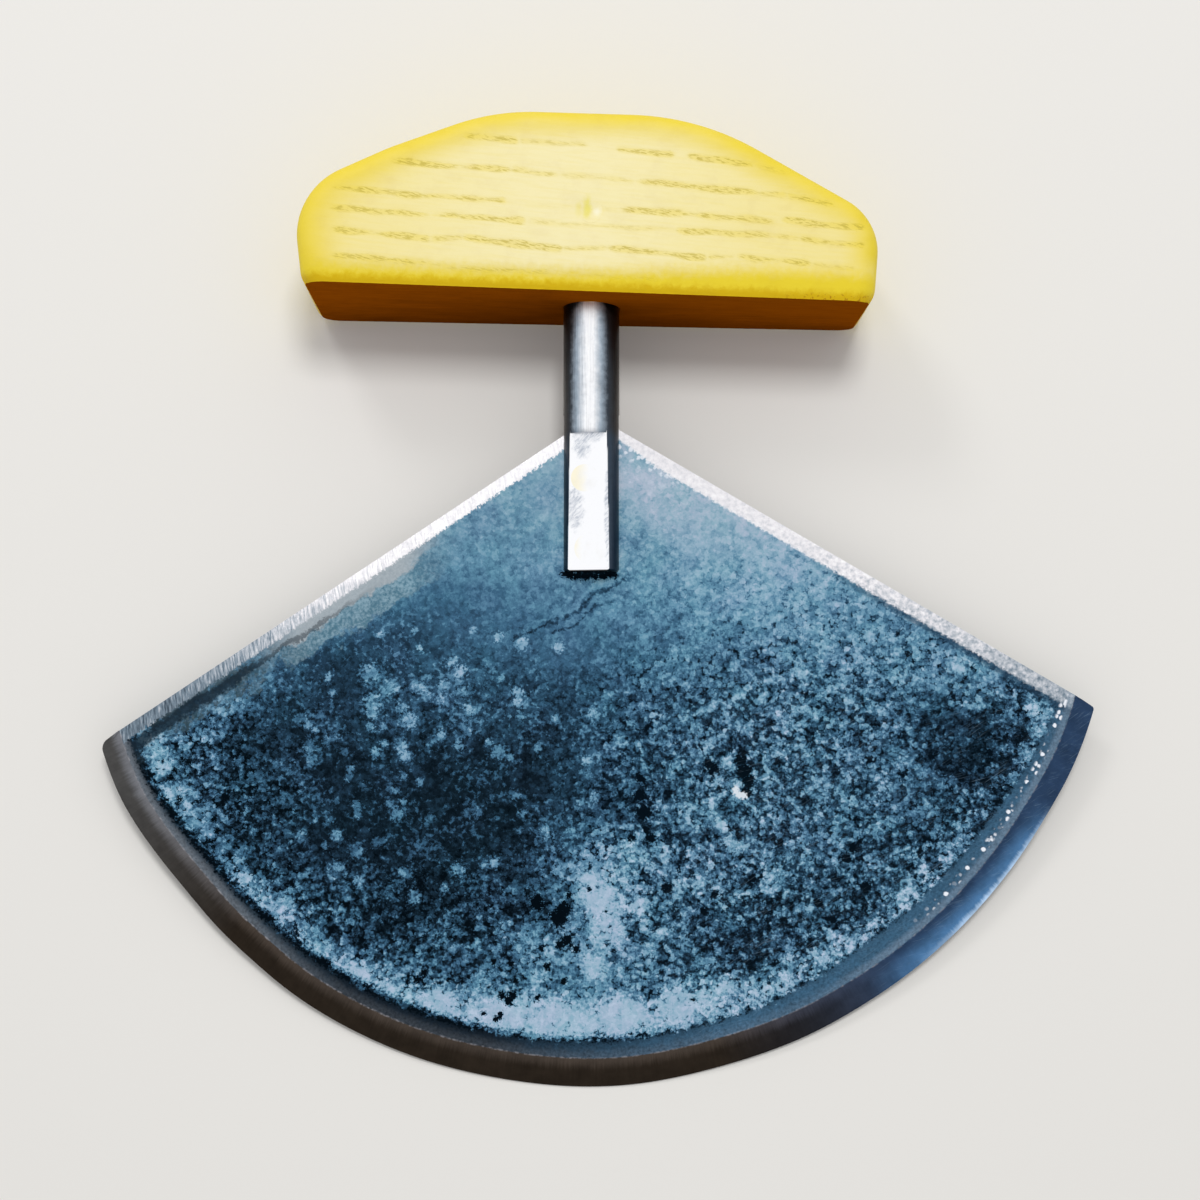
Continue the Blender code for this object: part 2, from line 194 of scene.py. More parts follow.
class UluStage(bpy.types.PropertyGroup):
    """Camera and light"""

    lens: FloatProperty(
        name="Lens", description="Focal length on a 36 mm sensor", default=65.7, unit="CAMERA"
    )
    key: FloatProperty(name="Key lamp", description="Power of the lamp overhead", default=5, unit="POWER")
    side: FloatProperty(name="Side lamp", description="Power of the low lamp", default=1.6, unit="POWER")
    ambient: amount("Ambient", "Light that comes evenly from all round", 0.55)
    floor: colour("Floor", "Colour of the floor", 236, 234, 230)


def knife_frame(handle):
    """The matrix from the knife's own axes to the frame, found from the mount on the handle's back."""
    mount = frame["record"]["mounts"][0]
    axis = Vector(mount["axis"])
    tilt = math.atan2(axis.y, -axis.z)
    place = Vector((0, handle.foot + handle.pin_above_foot, -handle.thickness / 2))
    turn = Matrix.Rotation(tilt, 4, "X")
    return Matrix.Translation(Vector(mount["pos_m"]) - turn @ place) @ turn


# Node graphs


class Field:
    """What a socket gives, over the whole surface. Arithmetic on it adds Math nodes beside the socket."""

    def __init__(self, socket):
        self.socket = socket

    def __add__(self, other):
        return maths("ADD", self, other)

    def __sub__(self, other):
        return maths("SUBTRACT", self, other)

    def __rsub__(self, other):
        return maths("SUBTRACT", other, self)

    def __mul__(self, other):
        return maths("MULTIPLY", self, other)

    def __truediv__(self, other):
        return maths("DIVIDE", self, other)

    def __neg__(self):
        return self * -1.0

    def __abs__(self):
        return maths("ABSOLUTE", self)


def put(value, socket):
    """Links a field to a socket, or sets the socket to a plain value."""
    if isinstance(value, Field):
        value.socket.id_data.links.new(value.socket, socket)
    else:
        socket.default_value = value


def add_node(tree, kind, inputs=None, **settings):
    """Adds a shader node with its settings and inputs."""
    made = tree.nodes.new("ShaderNode" + kind)
    for name, value in settings.items():
        setattr(made, name, value)
    for socket, value in (inputs or {}).items():
        put(value, made.inputs[socket])
    return made


def node(kind, inputs, output=0, **settings):
    """Adds a shader node beside the fields among its inputs and returns one of its outputs."""
    tree = next(value.socket.id_data for value in inputs.values() if isinstance(value, Field))
    return Field(add_node(tree, kind, inputs, **settings).outputs[output])


def maths(operation, *values, clamp=False):
    """A Math node on fields and numbers."""
    return node("Math", dict(enumerate(values)), operation=operation, use_clamp=clamp)


def larger(first, second):
    """The larger of two fields, or of a number and a field."""
    return maths("MAXIMUM", first, second)


def smaller(first, second):
    """The smaller of two, in the same way."""
    return maths("MINIMUM", first, second)


def spread(value, low, high, to_low=0.0, to_high=1.0, **settings):
    """Goes evenly from one number to another as a value goes from low to high."""
    inputs = {"Value": value, "From Min": low, "From Max": high, "To Min": to_low, "To Max": to_high}
    return node("MapRange", inputs, **settings)


def rise(value, low, high):
    """Goes smoothly from 0 to 1 as a value goes from low to high, and down where low is above high."""
    ends = (low, high, 0.0, 1.0) if low < high else (high, low, 1.0, 0.0)
    return spread(value, *ends, interpolation_type="SMOOTHSTEP")


def opaque(tint):
    """A colour with its alpha, for a socket."""
    return tint if isinstance(tint, Field) or len(tint) == 4 else (*tint, 1.0)


def shade(red, green, blue):
    """A colour as it looks on a screen, for a shader."""
    return (linear(red), linear(green), linear(blue), 1.0)


def mix(factor, first, second, blend_type="MIX"):
    """A colour between two others."""
    inputs = {0: factor, 6: opaque(first), 7: opaque(second)}
    return node("Mix", inputs, 2, data_type="RGBA", blend_type=blend_type)


def times(tint, other):
    """A colour multiplied by another."""
    return mix(1.0, tint, other, "MULTIPLY")


def blend(factor, first, second):
    """A number between two others."""
    return node("Mix", {0: factor, 2: first, 3: second}, data_type="FLOAT")


def ramp(value, stops):
    """A colour for a value, from (place, colour) stops."""
    made = add_node(value.socket.id_data, "ValToRGB", {"Fac": value})
    elements = made.color_ramp.elements
    while len(elements) < len(stops):
        elements.new(1.0)
    for element, (place, tint) in zip(elements, stops):
        element.position = place
        element.color = opaque(tint)
    return Field(made.outputs["Color"])


def attribute(tree, name):
    """The three numbers that a piece keeps for each corner point under a name."""
    return split(Field(add_node(tree, "Attribute", attribute_name=name).outputs["Vector"]))


def split(vector):
    """A vector's three numbers."""
    made = add_node(vector.socket.id_data, "SeparateXYZ", {0: vector})
    return [Field(output) for output in made.outputs]


def fog(vector, scale, detail=3.0, roughness=0.55, distortion=0.0):
    """Cloudy noise."""
    inputs = {"Vector": vector, "Scale": scale, "Detail": detail, "Roughness": roughness}
    return node("TexNoise", {**inputs, "Distortion": distortion}, "Fac", noise_dimensions="3D")


def flakes(vector, scale, ragged):
    """Ragged flakes: each one's own lightness, and the distance from its middle."""
    bends = node("TexNoise", {"Vector": vector, "Scale": scale * 1.6, "Detail": 4.0}, "Color")
    bends = node("VectorMath", {0: bends, "Scale": ragged}, operation="SCALE")
    moved = node("VectorMath", {0: vector, 1: bends}, operation="ADD")
    cells = add_node(vector.socket.id_data, "TexVoronoi", {"Vector": moved, "Scale": scale}, feature="F1")
    return split(Field(cells.outputs["Color"]))[0], Field(cells.outputs["Distance"])


def beads(vector, ragged, clear):
    """Small separate beads, bare of them beyond a distance from their middles."""
    own, reach = flakes(vector, 1.0, ragged)
    return rise(own, 0.15, 0.35) * rise(reach, 0.5, clear)


def spot_reach(vector, middle, shrink, ragged):
    """How far a place lies from the middle of an oval spot with a ragged border."""
    offset = node("VectorMath", {0: vector, 1: (*middle, 0)}, operation="SUBTRACT")
    scaled = node("VectorMath", {0: offset, 1: (*shrink, 0)}, operation="MULTIPLY")
    return node("VectorMath", {0: scaled}, "Value", operation="LENGTH") + ragged


def knife_vector(tree):
    """Object coordinates turned into the knife's own axes, in millimetres."""
    inputs = {
        "Vector": Field(add_node(tree, "TexCoord").outputs["Object"]),
        "Location": KNIFE.to_translation(),
        "Rotation": KNIFE.to_euler(),
        "Scale": (MM, MM, MM),
    }
    return node("Mapping", inputs, vector_type="TEXTURE")


def stretched(vector, scale, turn=0.0):
    """Coordinates turned about Z and then scaled."""
    turned_vector = node("Mapping", {"Vector": vector, "Rotation": (0, 0, turn)})
    return node("Mapping", {"Vector": turned_vector, "Scale": scale})


def new_group(name, inputs):
    """Starts a shader node group with number inputs, each with its default, and a mask as its output.

    Returns the knife's axes, the inputs as fields and the socket that takes the mask.
    """
    tree = bpy.data.node_groups.new(name, "ShaderNodeTree")
    for socket, default in inputs.items():
        made = tree.interface.new_socket(socket, in_out="INPUT", socket_type="NodeSocketFloat")
        made.default_value = default
    tree.interface.new_socket("Mask", in_out="OUTPUT", socket_type="NodeSocketFloat")
    given = tree.nodes.new("NodeGroupInput").outputs
    wanted = tree.nodes.new("NodeGroupOutput").inputs["Mask"]
    return knife_vector(tree), [Field(given[socket]) for socket in inputs], wanted


def use_group(tree, name, **values):
    """The mask that a shared effect gives, with its own values."""
    made = tree.nodes.new("ShaderNodeGroup")
    made.node_tree = GROUPS[name]
    for socket, value in values.items():
        made.inputs[socket.capitalize()].default_value = value
    return Field(made.outputs["Mask"])


def scratch_group():
    """Fine scratches in two crossing directions, with a direction and a density."""
    vector, (direction, density), wanted = new_group("Fine scratches", {"Direction": 0.0, "Density": 0.5})
    masks = []
    for offset in (0.0, 0.35):
        turn = node("CombineXYZ", {"Z": direction + offset})
        turned_vector = node("Mapping", {"Vector": vector, "Rotation": turn})
        scaled = node("VectorMath", {0: turned_vector, 1: (0.12, 7.0, 1.0)}, operation="MULTIPLY")
        lines = fog(scaled, 1.0, 2.0, 0.6, 0.3)
        masks.append(rise(lines, 0.58, 0.72) * rise(fog(vector, 0.25 + offset, 2.0), 0.4, 0.6))
    put(maths("ADD", *masks, clamp=True) * density, wanted)
    return wanted.id_data


def grime_group():
    """Cloudy dirt with small specks."""
    vector, (amount,), wanted = new_group("Grime", {"Amount": 0.5})
    clouds = rise(fog(vector, 0.3, 4.0, 0.6), 0.45, 0.75)
    specks = rise(fog(vector, 3.1, 3.0, 0.7), 0.62, 0.7)
    put(larger(clouds, specks * 0.6) * amount, wanted)
    return wanted.id_data


def new_material(name):
    """A material, its tree and its Principled shader."""
    material = bpy.data.materials.new(name)
    material.use_nodes = True
    tree = material.node_tree
    return material, tree, tree.nodes["Principled BSDF"]


def finish_shader(shader, inputs, height=None, depth=0.0):
    """Links or sets a shader's inputs, and gives it a bump of a depth in metres."""
    if height:
        inputs["Normal"] = node("Bump", {"Height": height, "Distance": depth, "Strength": 1.0})
    for name, value in inputs.items():
        put(value, shader.inputs[name])


# Shapes


def slice_off(bm, point, normal):
    """Cuts away what lies beyond a plane, on the side its normal points to, and closes the cut."""
    geometry = bm.verts[:] + bm.edges[:] + bm.faces[:]
    cut = bmesh.ops.bisect_plane(
        bm, geom=geometry, dist=SNAP, plane_co=point, plane_no=normal, clear_outer=True
    )
    rim = [item for item in cut["geom_cut"] if isinstance(item, bmesh.types.BMEdge)]
    if rim:
        bmesh.ops.edgeloop_fill(bm, edges=rim)


def score(bm, point, normal, wanted=None):
    """Draws a line round the faces where a plane meets them."""
    faces = [face for face in bm.faces if wanted is None or wanted(face)]
    edges = {edge for face in faces for edge in face.edges}
    verts = {vert for face in faces for vert in face.verts}
    geometry = [*verts, *edges, *faces]
    bmesh.ops.bisect_plane(bm, geom=geometry, dist=SNAP, plane_co=point, plane_no=normal)


def score_grid(bm, axis, step, wanted=None):
    """Scores evenly spaced lines across an axis, over the whole length of the shape."""
    low = min(vert.co[axis] for vert in bm.verts)
    high = max(vert.co[axis] for vert in bm.verts)
    normal = Vector((0, 0, 0))
    normal[axis] = 1
    count = round((high - low) / step)
    for index in range(1, count):
        score(bm, normal * (low + (high - low) * index / count), normal, wanted)


def raise_face(bm, face, height):
    """Extrudes a level face upwards and returns the new face."""
    made = bmesh.ops.extrude_face_region(bm, geom=[face])["geom"]
    corners = [item for item in made if isinstance(item, bmesh.types.BMVert)]
    bmesh.ops.translate(bm, verts=corners, vec=(0, 0, height))
    return next(item for item in made if isinstance(item, bmesh.types.BMFace))


def block(low, high):
    """A box between two corners."""
    size = high - low
    bm = bmesh.new()
    bmesh.ops.create_cube(bm, size=1)
    bmesh.ops.scale(bm, verts=bm.verts, vec=size)
    return shifted(bm, low + size / 2)


def turned(profile, segments):
    """A solid turned about Z from (radius, height) points, which start and end on the axis."""
    bm = bmesh.new()
    corners = [bm.verts.new((radius, 0, height)) for radius, height in profile]
    edges = [bm.edges.new(pair) for pair in zip(corners, corners[1:])]
    whole = {"cent": (0, 0, 0), "axis": (0, 0, 1), "angle": math.tau, "use_merge": True}
    bmesh.ops.spin(bm, geom=corners + edges, steps=segments, **whole)
    bmesh.ops.remove_doubles(bm, verts=bm.verts, dist=SNAP)
    bmesh.ops.recalc_face_normals(bm, faces=bm.faces)
    return bm


def upright(bm, place):
    """Stands a shape turned about Z along the stem instead."""
    bmesh.ops.rotate(bm, verts=bm.verts, matrix=Matrix.Rotation(-math.pi / 2, 3, "X"))
    return shifted(bm, place)


def mesh_from(name, bm):
    """Turns a shape into a mesh."""
    mesh = bpy.data.meshes.new(name)
    bm.to_mesh(mesh)
    bm.free()
    return mesh


def show(name, data):
    """Adds an object with a mesh, a lamp or a camera to the scene."""
    made = bpy.data.objects.new(name, data)
    bpy.context.scene.collection.objects.link(made)
    return made


def shifted(bm, offset):
    """Moves a whole shape."""
    bmesh.ops.translate(bm, verts=bm.verts, vec=offset)
    return bm


def carve(bm, cutters):
    """Cuts closed shapes out of another and returns what is left."""
    body, *tools = [show("cutting", mesh_from("cutting", shape)) for shape in (bm, *cutters)]
    for tool in tools:
        boolean = body.modifiers.new("cut", "BOOLEAN")
        boolean.operation = "DIFFERENCE"
        boolean.solver = "EXACT"
        boolean.object = tool
    result = bmesh.new()
    result.from_object(body, bpy.context.evaluated_depsgraph_get())
    for item in (body, *tools):
        mesh = item.data
        bpy.data.objects.remove(item, do_unlink=True)
        bpy.data.meshes.remove(mesh)
    return result


def store(bm, name, values):
    """Keeps a vector for each corner point, for the material to read."""
    layer = bm.verts.layers.float_vector.new(name)
    for vert in bm.verts:
        vert[layer] = values(vert.co)


def finish_piece(name, bm, material, nodes, sharp=32.0):
    """Lays a piece where the knife lies and hands it to the frame."""
    bmesh.ops.transform(bm, matrix=KNIFE, verts=bm.verts)
    # The knife rests at height 0, so what rounding left below it is lifted there
    for vert in bm.verts:
        vert.co.z = max(vert.co.z, 0.0)
    mesh = mesh_from(name, bm)
    mesh.materials.append(material)
    mesh.shade_smooth()
    mesh.set_sharp_from_angle(angle=math.radians(sharp))
    piece = show(name, mesh)
    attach(piece, BODY)
    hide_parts(*nodes)
    return piece


def roughly(x, y, size, seed=0.0):
    """Smooth unevenness from -1 to 1 over a plane, in lumps of about a size."""
    return noise.noise(Vector((x / size, y / size, seed)))


def bump_at(place, centre, radii, turn=0.0):
    """How near a place is to the middle of an oval patch: 1 there, and fading to 0 outwards."""
    offset = Matrix.Rotation(-math.radians(turn), 2) @ (Vector(place) - Vector(centre))
    return math.exp(-((offset.x / radii[0]) ** 2) - (offset.y / radii[1]) ** 2)


# Blade


def side_tip(sizes, side, inset=0.0):
    """Where a straight side, moved inwards by an inset, meets the arc, moved inwards as far.

    A side is -1 for the left and 1 for the right. Returns the point and the side's outward direction.
    """
    fall = sizes.left_angle if side < 0 else sizes.right_angle
    along = Vector((side * math.cos(fall), -math.sin(fall), 0))
    outward = Vector((side * math.sin(fall), math.cos(fall), 0))
    start = Vector((sizes.apex_offset, sizes.apex_height, 0)) - outward * inset
    half = along.dot(start)
    beyond = start.length_squared - (sizes.radius - inset) ** 2
    return start + along * (math.sqrt(half * half - beyond) - half), outward


def shoulder_circle(sizes):
    """How far the bevel's shoulder circle is moved up the stem, and its radius."""
    tip_drop = -side_tip(sizes, 1)[0].normalized().y
    shift = (sizes.bevel_width - sizes.tip_bevel_width) / (1 - tip_drop)
    return shift, sizes.radius - sizes.bevel_width + shift


# Broad areas of the forged face's tone, in millimetres: centre, radii, turn in degrees, and how much
# lighter the scale is there and how much grainier
TONE_PATCHES = (
    ((-48, -40), (24, 18), -20, -0.09, -0.06),
    ((-33, -31), (11, 8), 0, 0.07, 0.04),
    ((-16, -42), (20, 14), 0, -0.10, -0.06),
    ((-28, -60), (16, 8), -15, -0.10, 0.0),
    ((-36, -16), (20, 7), 32, -0.10, -0.03),
    ((42, -24), (36, 28), -20, 0.18, 0.15),
    ((20, 8), (20, 8), -30, 0.12, -0.04),
    ((20, -48), (18, 16), 10, 0.20, 0.16),
    ((10, -43), (7, 5), 0, -0.24, 0.0),
    ((2, -59), (9, 10), -10, 0.38, 0.05),
    ((2, -73), (15, 6), 0, 0.22, -0.05),
    ((14, -20), (22, 10), 0, 0.0, -0.07),
    ((-2, -52), (8, 5), 0, 0.04, 0.12),
    ((66, -33), (9, 8), -30, -0.22, -0.2),
    ((36, -62), (14, 5), 20, -0.04, 0.05),
    ((66, -20.5), (6, 2.2), -30, 0.16, 0.05),
    ((78.5, -27.5), (3.2, 2.0), -50, 0.18, 0.05),
    ((-62, -40), (9, 14), 35, 0.10, 0.24),
    ((-64, -27.5), (8, 3.2), 34, 0.18, 0.10),
    ((0, 16), (12, 8), 0, 0.08, -0.05),
    ((9, 14), (9, 5), -32, 0.12, 0.0),
    ((-14, -68), (12, 4), -10, 0.16, 0.16),
    ((30, -37), (7, 8), 20, -0.16, 0.06),
    ((70, -46), (5, 8), -30, -0.12, 0.0),
)

# Pale clumps of scale on the dark left of the face, in millimetres: middle and radius
PALE_CLUMPS = (
    (-38.8, -20.6, 2.1), (-38.3, -25.9, 1.9), (-38.5, -27.8, 1.3), (-35.7, -23.6, 1.7),
    (-34.3, -24.0, 0.9), (-30.3, -24.0, 1.5), (-28.8, -25.5, 1.1), (-33.7, -27.4, 1.1),
    (-32.6, -29.3, 1.5), (-24.6, -19.0, 1.1), (-23.1, -21.0, 1.3), (-25.4, -23.2, 1.3),
    (-26.1, -26.3, 1.1), (-21.9, -24.0, 0.7), (-21.0, -27.4, 1.1), (-50.7, -29.0, 1.3),
    (-49.3, -30.3, 1.1), (-48.0, -31.6, 0.8), (-45.9, -33.1, 1.1), (-44.3, -32.4, 0.8),
    (-49.5, -33.9, 1.3), (-49.2, -36.2, 1.1), (-45.8, -22.1, 0.8), (-45.2, -24.4, 0.8),
    (-38.7, -30.5, 1.1), (-36.4, -30.5, 0.9), (-36.5, -33.7, 0.9), (-38.2, -35.4, 1.1),
    (-33.3, -33.5, 1.5), (-32.1, -35.0, 1.3), (-26.8, -31.6, 1.3), (-28.0, -32.4, 0.8),
    (-23.4, -33.5, 1.3), (-21.9, -30.9, 0.8), (-42.2, -37.7, 0.8), (-42.4, -39.2, 0.9),
    (-39.9, -40.5, 0.8), (-29.8, -40.0, 0.9), (-34.6, -41.5, 0.9), (-32.9, -38.6, 0.8),
    (-16.2, -34.7, 1.5), (-18.1, -32.8, 0.8), (-14.1, -35.8, 0.8), (-9.1, -33.9, 0.9),
    (-13.0, -24.8, 1.1), (-13.0, -26.3, 0.9), (-12.6, -28.4, 0.8), (-5.9, -29.0, 1.1), (0.4, -28.2, 1.1),
    (-20.9, -13.3, 0.8), (-16.3, -14.4, 1.1), (-12.1, -16.2, 1.4), (-5.6, -16.4, 1.1),
    (-17.6, -20.0, 0.8), (-15.9, -21.5, 0.8), (-31.2, -13.9, 0.8), (-30.0, -16.6, 0.6),
    (-37.1, -14.1, 0.8), (-13.5, -42.4, 1.1), (-12.5, -46.0, 0.9), (-21.6, -43.6, 0.8),
    (-21.1, -45.3, 1.1), (-19.5, -45.4, 1.1), (-28.6, -46.6, 1.0), (-34.1, -45.6, 1.3),
    (-35.1, -44.1, 0.9), (-41.2, -44.1, 1.1), (-41.0, -45.6, 0.9), (-45.1, -47.1, 0.8),
    (-48.0, -46.8, 0.6), (-52.5, -45.4, 0.7), (-50.8, -49.6, 1.4), (-44.1, -50.2, 1.2),
    (-41.1, -52.0, 1.7), (-37.3, -50.7, 1.1), (-46.4, -51.7, 0.8), (-44.3, -55.8, 1.9),
    (-40.3, -57.7, 1.2), (-32.5, -55.4, 1.4), (-31.2, -59.5, 1.5), (-22.9, -55.8, 1.4),
    (-18.5, -54.5, 0.8), (-16.5, -54.1, 1.1), (-25.5, -59.2, 0.9), (-8.2, -49.0, 1.1), (0.7, -42.6, 1.3),
    (-5.9, -46.4, 0.8), (-2.1, -43.7, 0.8), (-0.6, -36.6, 1.1), (-43.2, -34.7, 0.8), (-36.2, -50.5, 0.8),
    (-33.2, -43.4, 0.7),
)

# Bright patches of bare steel along the rim and below the middle, in millimetres: middle and radius
BRIGHT_PATCHES = (
    (-52.3, -60.8, 2.4), (-50.0, -62.5, 1.6), (-76.5, -33.6, 2.1), (-74.7, -37.1, 2.1),
    (-72.9, -41.5, 1.9), (-71.1, -45.0, 1.6), (-60.4, -57.2, 1.6), (-40.1, -73.5, 2.1),
    (-35.8, -76.1, 1.7), (-26.2, -77.8, 2.6), (-15.8, -80.4, 2.8), (-5.4, -81.2, 3.8), (5.0, -80.4, 4.3),
    (15.4, -78.7, 3.1), (1.5, -60.6, 3.1), (3.3, -65.8, 3.5), (-0.2, -57.2, 1.6), (8.5, -61.5, 2.1),
    (64.9, -19.6, 1.6), (78.0, -26.6, 1.4), (24.0, -75.4, 2.0), (33.5, -70.8, 1.6), (-20.0, -74.0, 2.2),
    (-9.0, -74.5, 2.4), (0.0, -72.0, 2.6), (52.8, -59.8, 1.0), (26.0, -41.5, 0.9), (65.2, -55.8, 0.8),
)

# Deep pits in the forged face, in millimetres: middle and radius. The last eight, in a row just under the
# stem's foot, are no pits but the foot's cast shadow: a painted shadow, pressed in like the pits
PITS = (
    (21.2, -37.7, 1.1), (20.5, -36.6, 0.7), (26.9, -38.0, 1.3), (27.5, -39.8, 1.2), (26.3, -36.3, 0.9),
    (27.1, -41.9, 1.0), (8.5, -42.4, 1.1), (9.2, -45.3, 1.3), (8.7, -39.8, 0.8), (10.3, -50.0, 0.9),
    (9.6, -48.4, 0.7), (13.2, -58.7, 0.9), (7.1, -49.9, 0.6), (44.8, -53.5, 1.0), (46.1, -52.0, 0.9),
    (47.3, -50.6, 0.7), (-9.4, -61.1, 1.2), (-5.6, -63.5, 1.6), (-4.6, -62.0, 1.0), (-3.9, -59.9, 0.6),
    (-4.2, -67.7, 1.0), (-5.4, -68.2, 0.9), (-2.8, -69.2, 0.7), (-7.7, -72.2, 0.7), (-14.4, -78.0, 0.9),
    (-15.5, -77.0, 0.7), (-13.7, -77.1, 0.7), (-9.4, -77.5, 0.5), (-18.6, -80.2, 0.6),
    (-16.3, -81.1, 0.7), (-15.8, -80.2, 0.5), (-0.4, -58.8, 0.5), (2.6, -62.7, 0.5), (-28.9, -73.0, 0.5),
    (-30.2, -74.2, 0.7), (-24.7, -74.4, 0.5), (-16.9, -71.3, 0.6), (-14.1, -71.5, 0.5),
    (-4.7, -74.6, 0.5), (17.8, -78.5, 0.5), (28.0, -57.2, 0.7), (39.9, -61.5, 0.7), (48.3, -58.9, 0.9),
    (19.8, -62.7, 0.7), (21.6, -59.7, 0.8), (33.0, -50.6, 0.7), (-73.3, -39.1, 0.5), (-71.8, -42.9, 0.5),
    (-65.7, -48.8, 0.6), (-66.1, -46.7, 0.5), (-3.7, -3.6, 0.85), (-2.3, -3.7, 0.85), (-0.9, -3.7, 0.85),
    (0.5, -3.7, 0.85), (1.9, -3.6, 0.85), (3.0, -3.4, 0.8), (3.9, -3.3, 0.8), (-4.4, -3.4, 0.8),
)

# Hairline cracks, and the wider dark streak beside the left side, in millimetres: a way and half its width
CRACKS = (
    (((5.7, -4.7), (1.8, -6.5), (-0.4, -7.3), (-1.8, -9.8), (-4.3, -11.2), (-7.2, -12.0)), 0.55),
    (((-7.2, -12.0), (-10.1, -13.4), (-14.0, -14.9)), 0.4),
    (((4.3, -8.4), (0.7, -9.1), (-2.9, -12.7), (-7.2, -13.8)), 0.35),
    (((-77.0, -30.0), (-72.5, -27.0), (-66.5, -23.4), (-60.5, -20.2)), 0.95),
    (((-69.5, -31.0), (-66.0, -26.5), (-61.0, -21.5)), 0.35),
    (((-60.5, -49.0), (-64.5, -53.5)), 0.45),
    (((-55.0, -14.5), (-45.0, -7.8), (-37.3, -2.6)), 0.35),
)


# How far the outer part of the blade is ground away inside its true arc: degrees round the arc, counted to
# the right from straight down, and millimetres
GROUND_AWAY = (
    (-74, 0.1), (-68, 0.1), (-64, -0.45), (-60, -0.3), (-55, 0.25), (-50, 0.65), (-45, 0.35), (-40, 0.4),
    (-35, 0.0), (-30, -0.1), (-20, -0.1), (-15, 0.0), (-10, 0.1), (0, 0.0), (5, 0.12), (10, 0.5),
    (15, 0.75), (25, 0.72), (30, 0.9), (50, 0.85), (60, 0.65), (66, 0.1), (70, 0.0),
)


def nearness(place, spots):
    """How near a place is to the middle of the nearest round spot: 1 there, and fading to 0 outwards."""
    nearest = 0.0
    for x, y, radius in spots:
        across = abs(place.x - x)
        up = abs(place.y - y)
        if across < radius * 2 and up < radius * 2:
            nearest = max(nearest, math.exp(-0.7 * (across * across + up * up) / (radius * radius)))
    return nearest


def crack_strength(place):
    """How near a place is to the middle of a crack."""
    strongest = 0.0
    for way, half_width in CRACKS:
        for start, end in zip(way, way[1:]):
            off = distance_to(place, Vector(start), Vector(end))
            strongest = max(strongest, math.exp(-((off / half_width) ** 2)))
    return strongest


def distance_to(place, start, end):
    """The distance from a place to a straight stretch."""
    line = end - start
    share = min(max((place - start).dot(line) / max(line.length_squared, SNAP * SNAP), 0.0), 1.0)
    return (start + line * share - place).length


def forged_tone(place):
    """Lightness, grain and pale clumps of the forged face at a place, in millimetres."""
    light = 0.26 + 0.35 * smooth(place.y, -36, 8)
    right = smooth(place.x, -4, 12)
    grain = 0.13 + 0.06 * smooth(place.y, -14, -26)
    grain += 0.14 * right * smooth(place.y, -6, -28) + 0.10 * smooth(place.y, -50, -62)
    wander = Vector((roughly(place.x, place.y, 7, 3.0), roughly(place.x, place.y, 7, 7.0)))
    moved = place + wander * 3
    for centre, radii, turn, lighter, grainier in TONE_PATCHES:
        near = bump_at(moved, centre, radii, turn)
        light += lighter * near
        grain += grainier * near
    return light, max(grain, 0.06), nearness(place + wander, PALE_CLUMPS)


def forged_marks(place):
    """Pits, bright patches and cracks of the forged face at a place, in millimetres."""
    wander = Vector((roughly(place.x, place.y, 1.2, 3.0), roughly(place.x, place.y, 1.2, 7.0)))
    pits = nearness(place + wander * 0.5, PITS)
    bright = nearness(place + wander * 1.2, BRIGHT_PATCHES)
    return pits, bright, crack_strength(place + wander * 0.7)


def smooth(value, low, high):
    """Goes smoothly from 0 to 1 as a number goes from low to high."""
    share = min(max((value - low) / (high - low), 0.0), 1.0)
    return share * share * (3 - 2 * share)


def blade_shape(sizes):
    """The blade, its forged face scored into a grid."""
    shift, shoulder = shoulder_circle(sizes)
    bm = bmesh.new()
    bmesh.ops.create_circle(bm, cap_ends=True, segments=480, radius=sizes.radius)
    shifted(bm, (0, 0, -sizes.thickness / 2))
    bm.faces.ensure_lookup_table()
    edge_face = raise_face(bm, bm.faces[0], sizes.edge_thickness)
    front_face = raise_face(bm, edge_face, sizes.thickness - sizes.edge_thickness)
    bmesh.ops.delete(bm, geom=[edge_face], context="FACES_ONLY")
    shrink = shoulder / sizes.radius
    bmesh.ops.scale(bm, verts=front_face.verts, vec=(shrink, shrink, 1))
    bmesh.ops.translate(bm, verts=front_face.verts, vec=(0, shift, 0))
    for side, radius in ((-1, sizes.left_tip), (1, sizes.right_tip)):
        tip, outward = side_tip(sizes, side)
        slice_off(bm, tip, outward)
        centre, outward = side_tip(sizes, side, radius)
        arc_outward = centre.normalized()
        for share in (0.12, 0.25, 0.38, 0.5, 0.62, 0.75, 0.88):
            direction = outward.lerp(arc_outward, share).normalized()
            slice_off(bm, centre + direction * radius, direction)

    def faces_front(face):
        return face.normal.z > 0.5

    bm.normal_update()
    for side, width in ((-1, sizes.left_chamfer), (1, sizes.right_chamfer)):
        tip, outward = side_tip(sizes, side)
        for share in (0.4, 0.8, 1.0, 1.25):
            score(bm, tip - outward * width * share, outward, faces_front)
    for axis in (0, 1):
        score_grid(bm, axis, sizes.cell, faces_front)
    bm.normal_update()
    inner = [edge for edge in bm.edges if all(face.normal.z > 0.99 for face in edge.link_faces)]
    bmesh.ops.subdivide_edges(bm, edges=inner, cuts=3, use_grid_fill=True)
    bm.normal_update()
    return bm


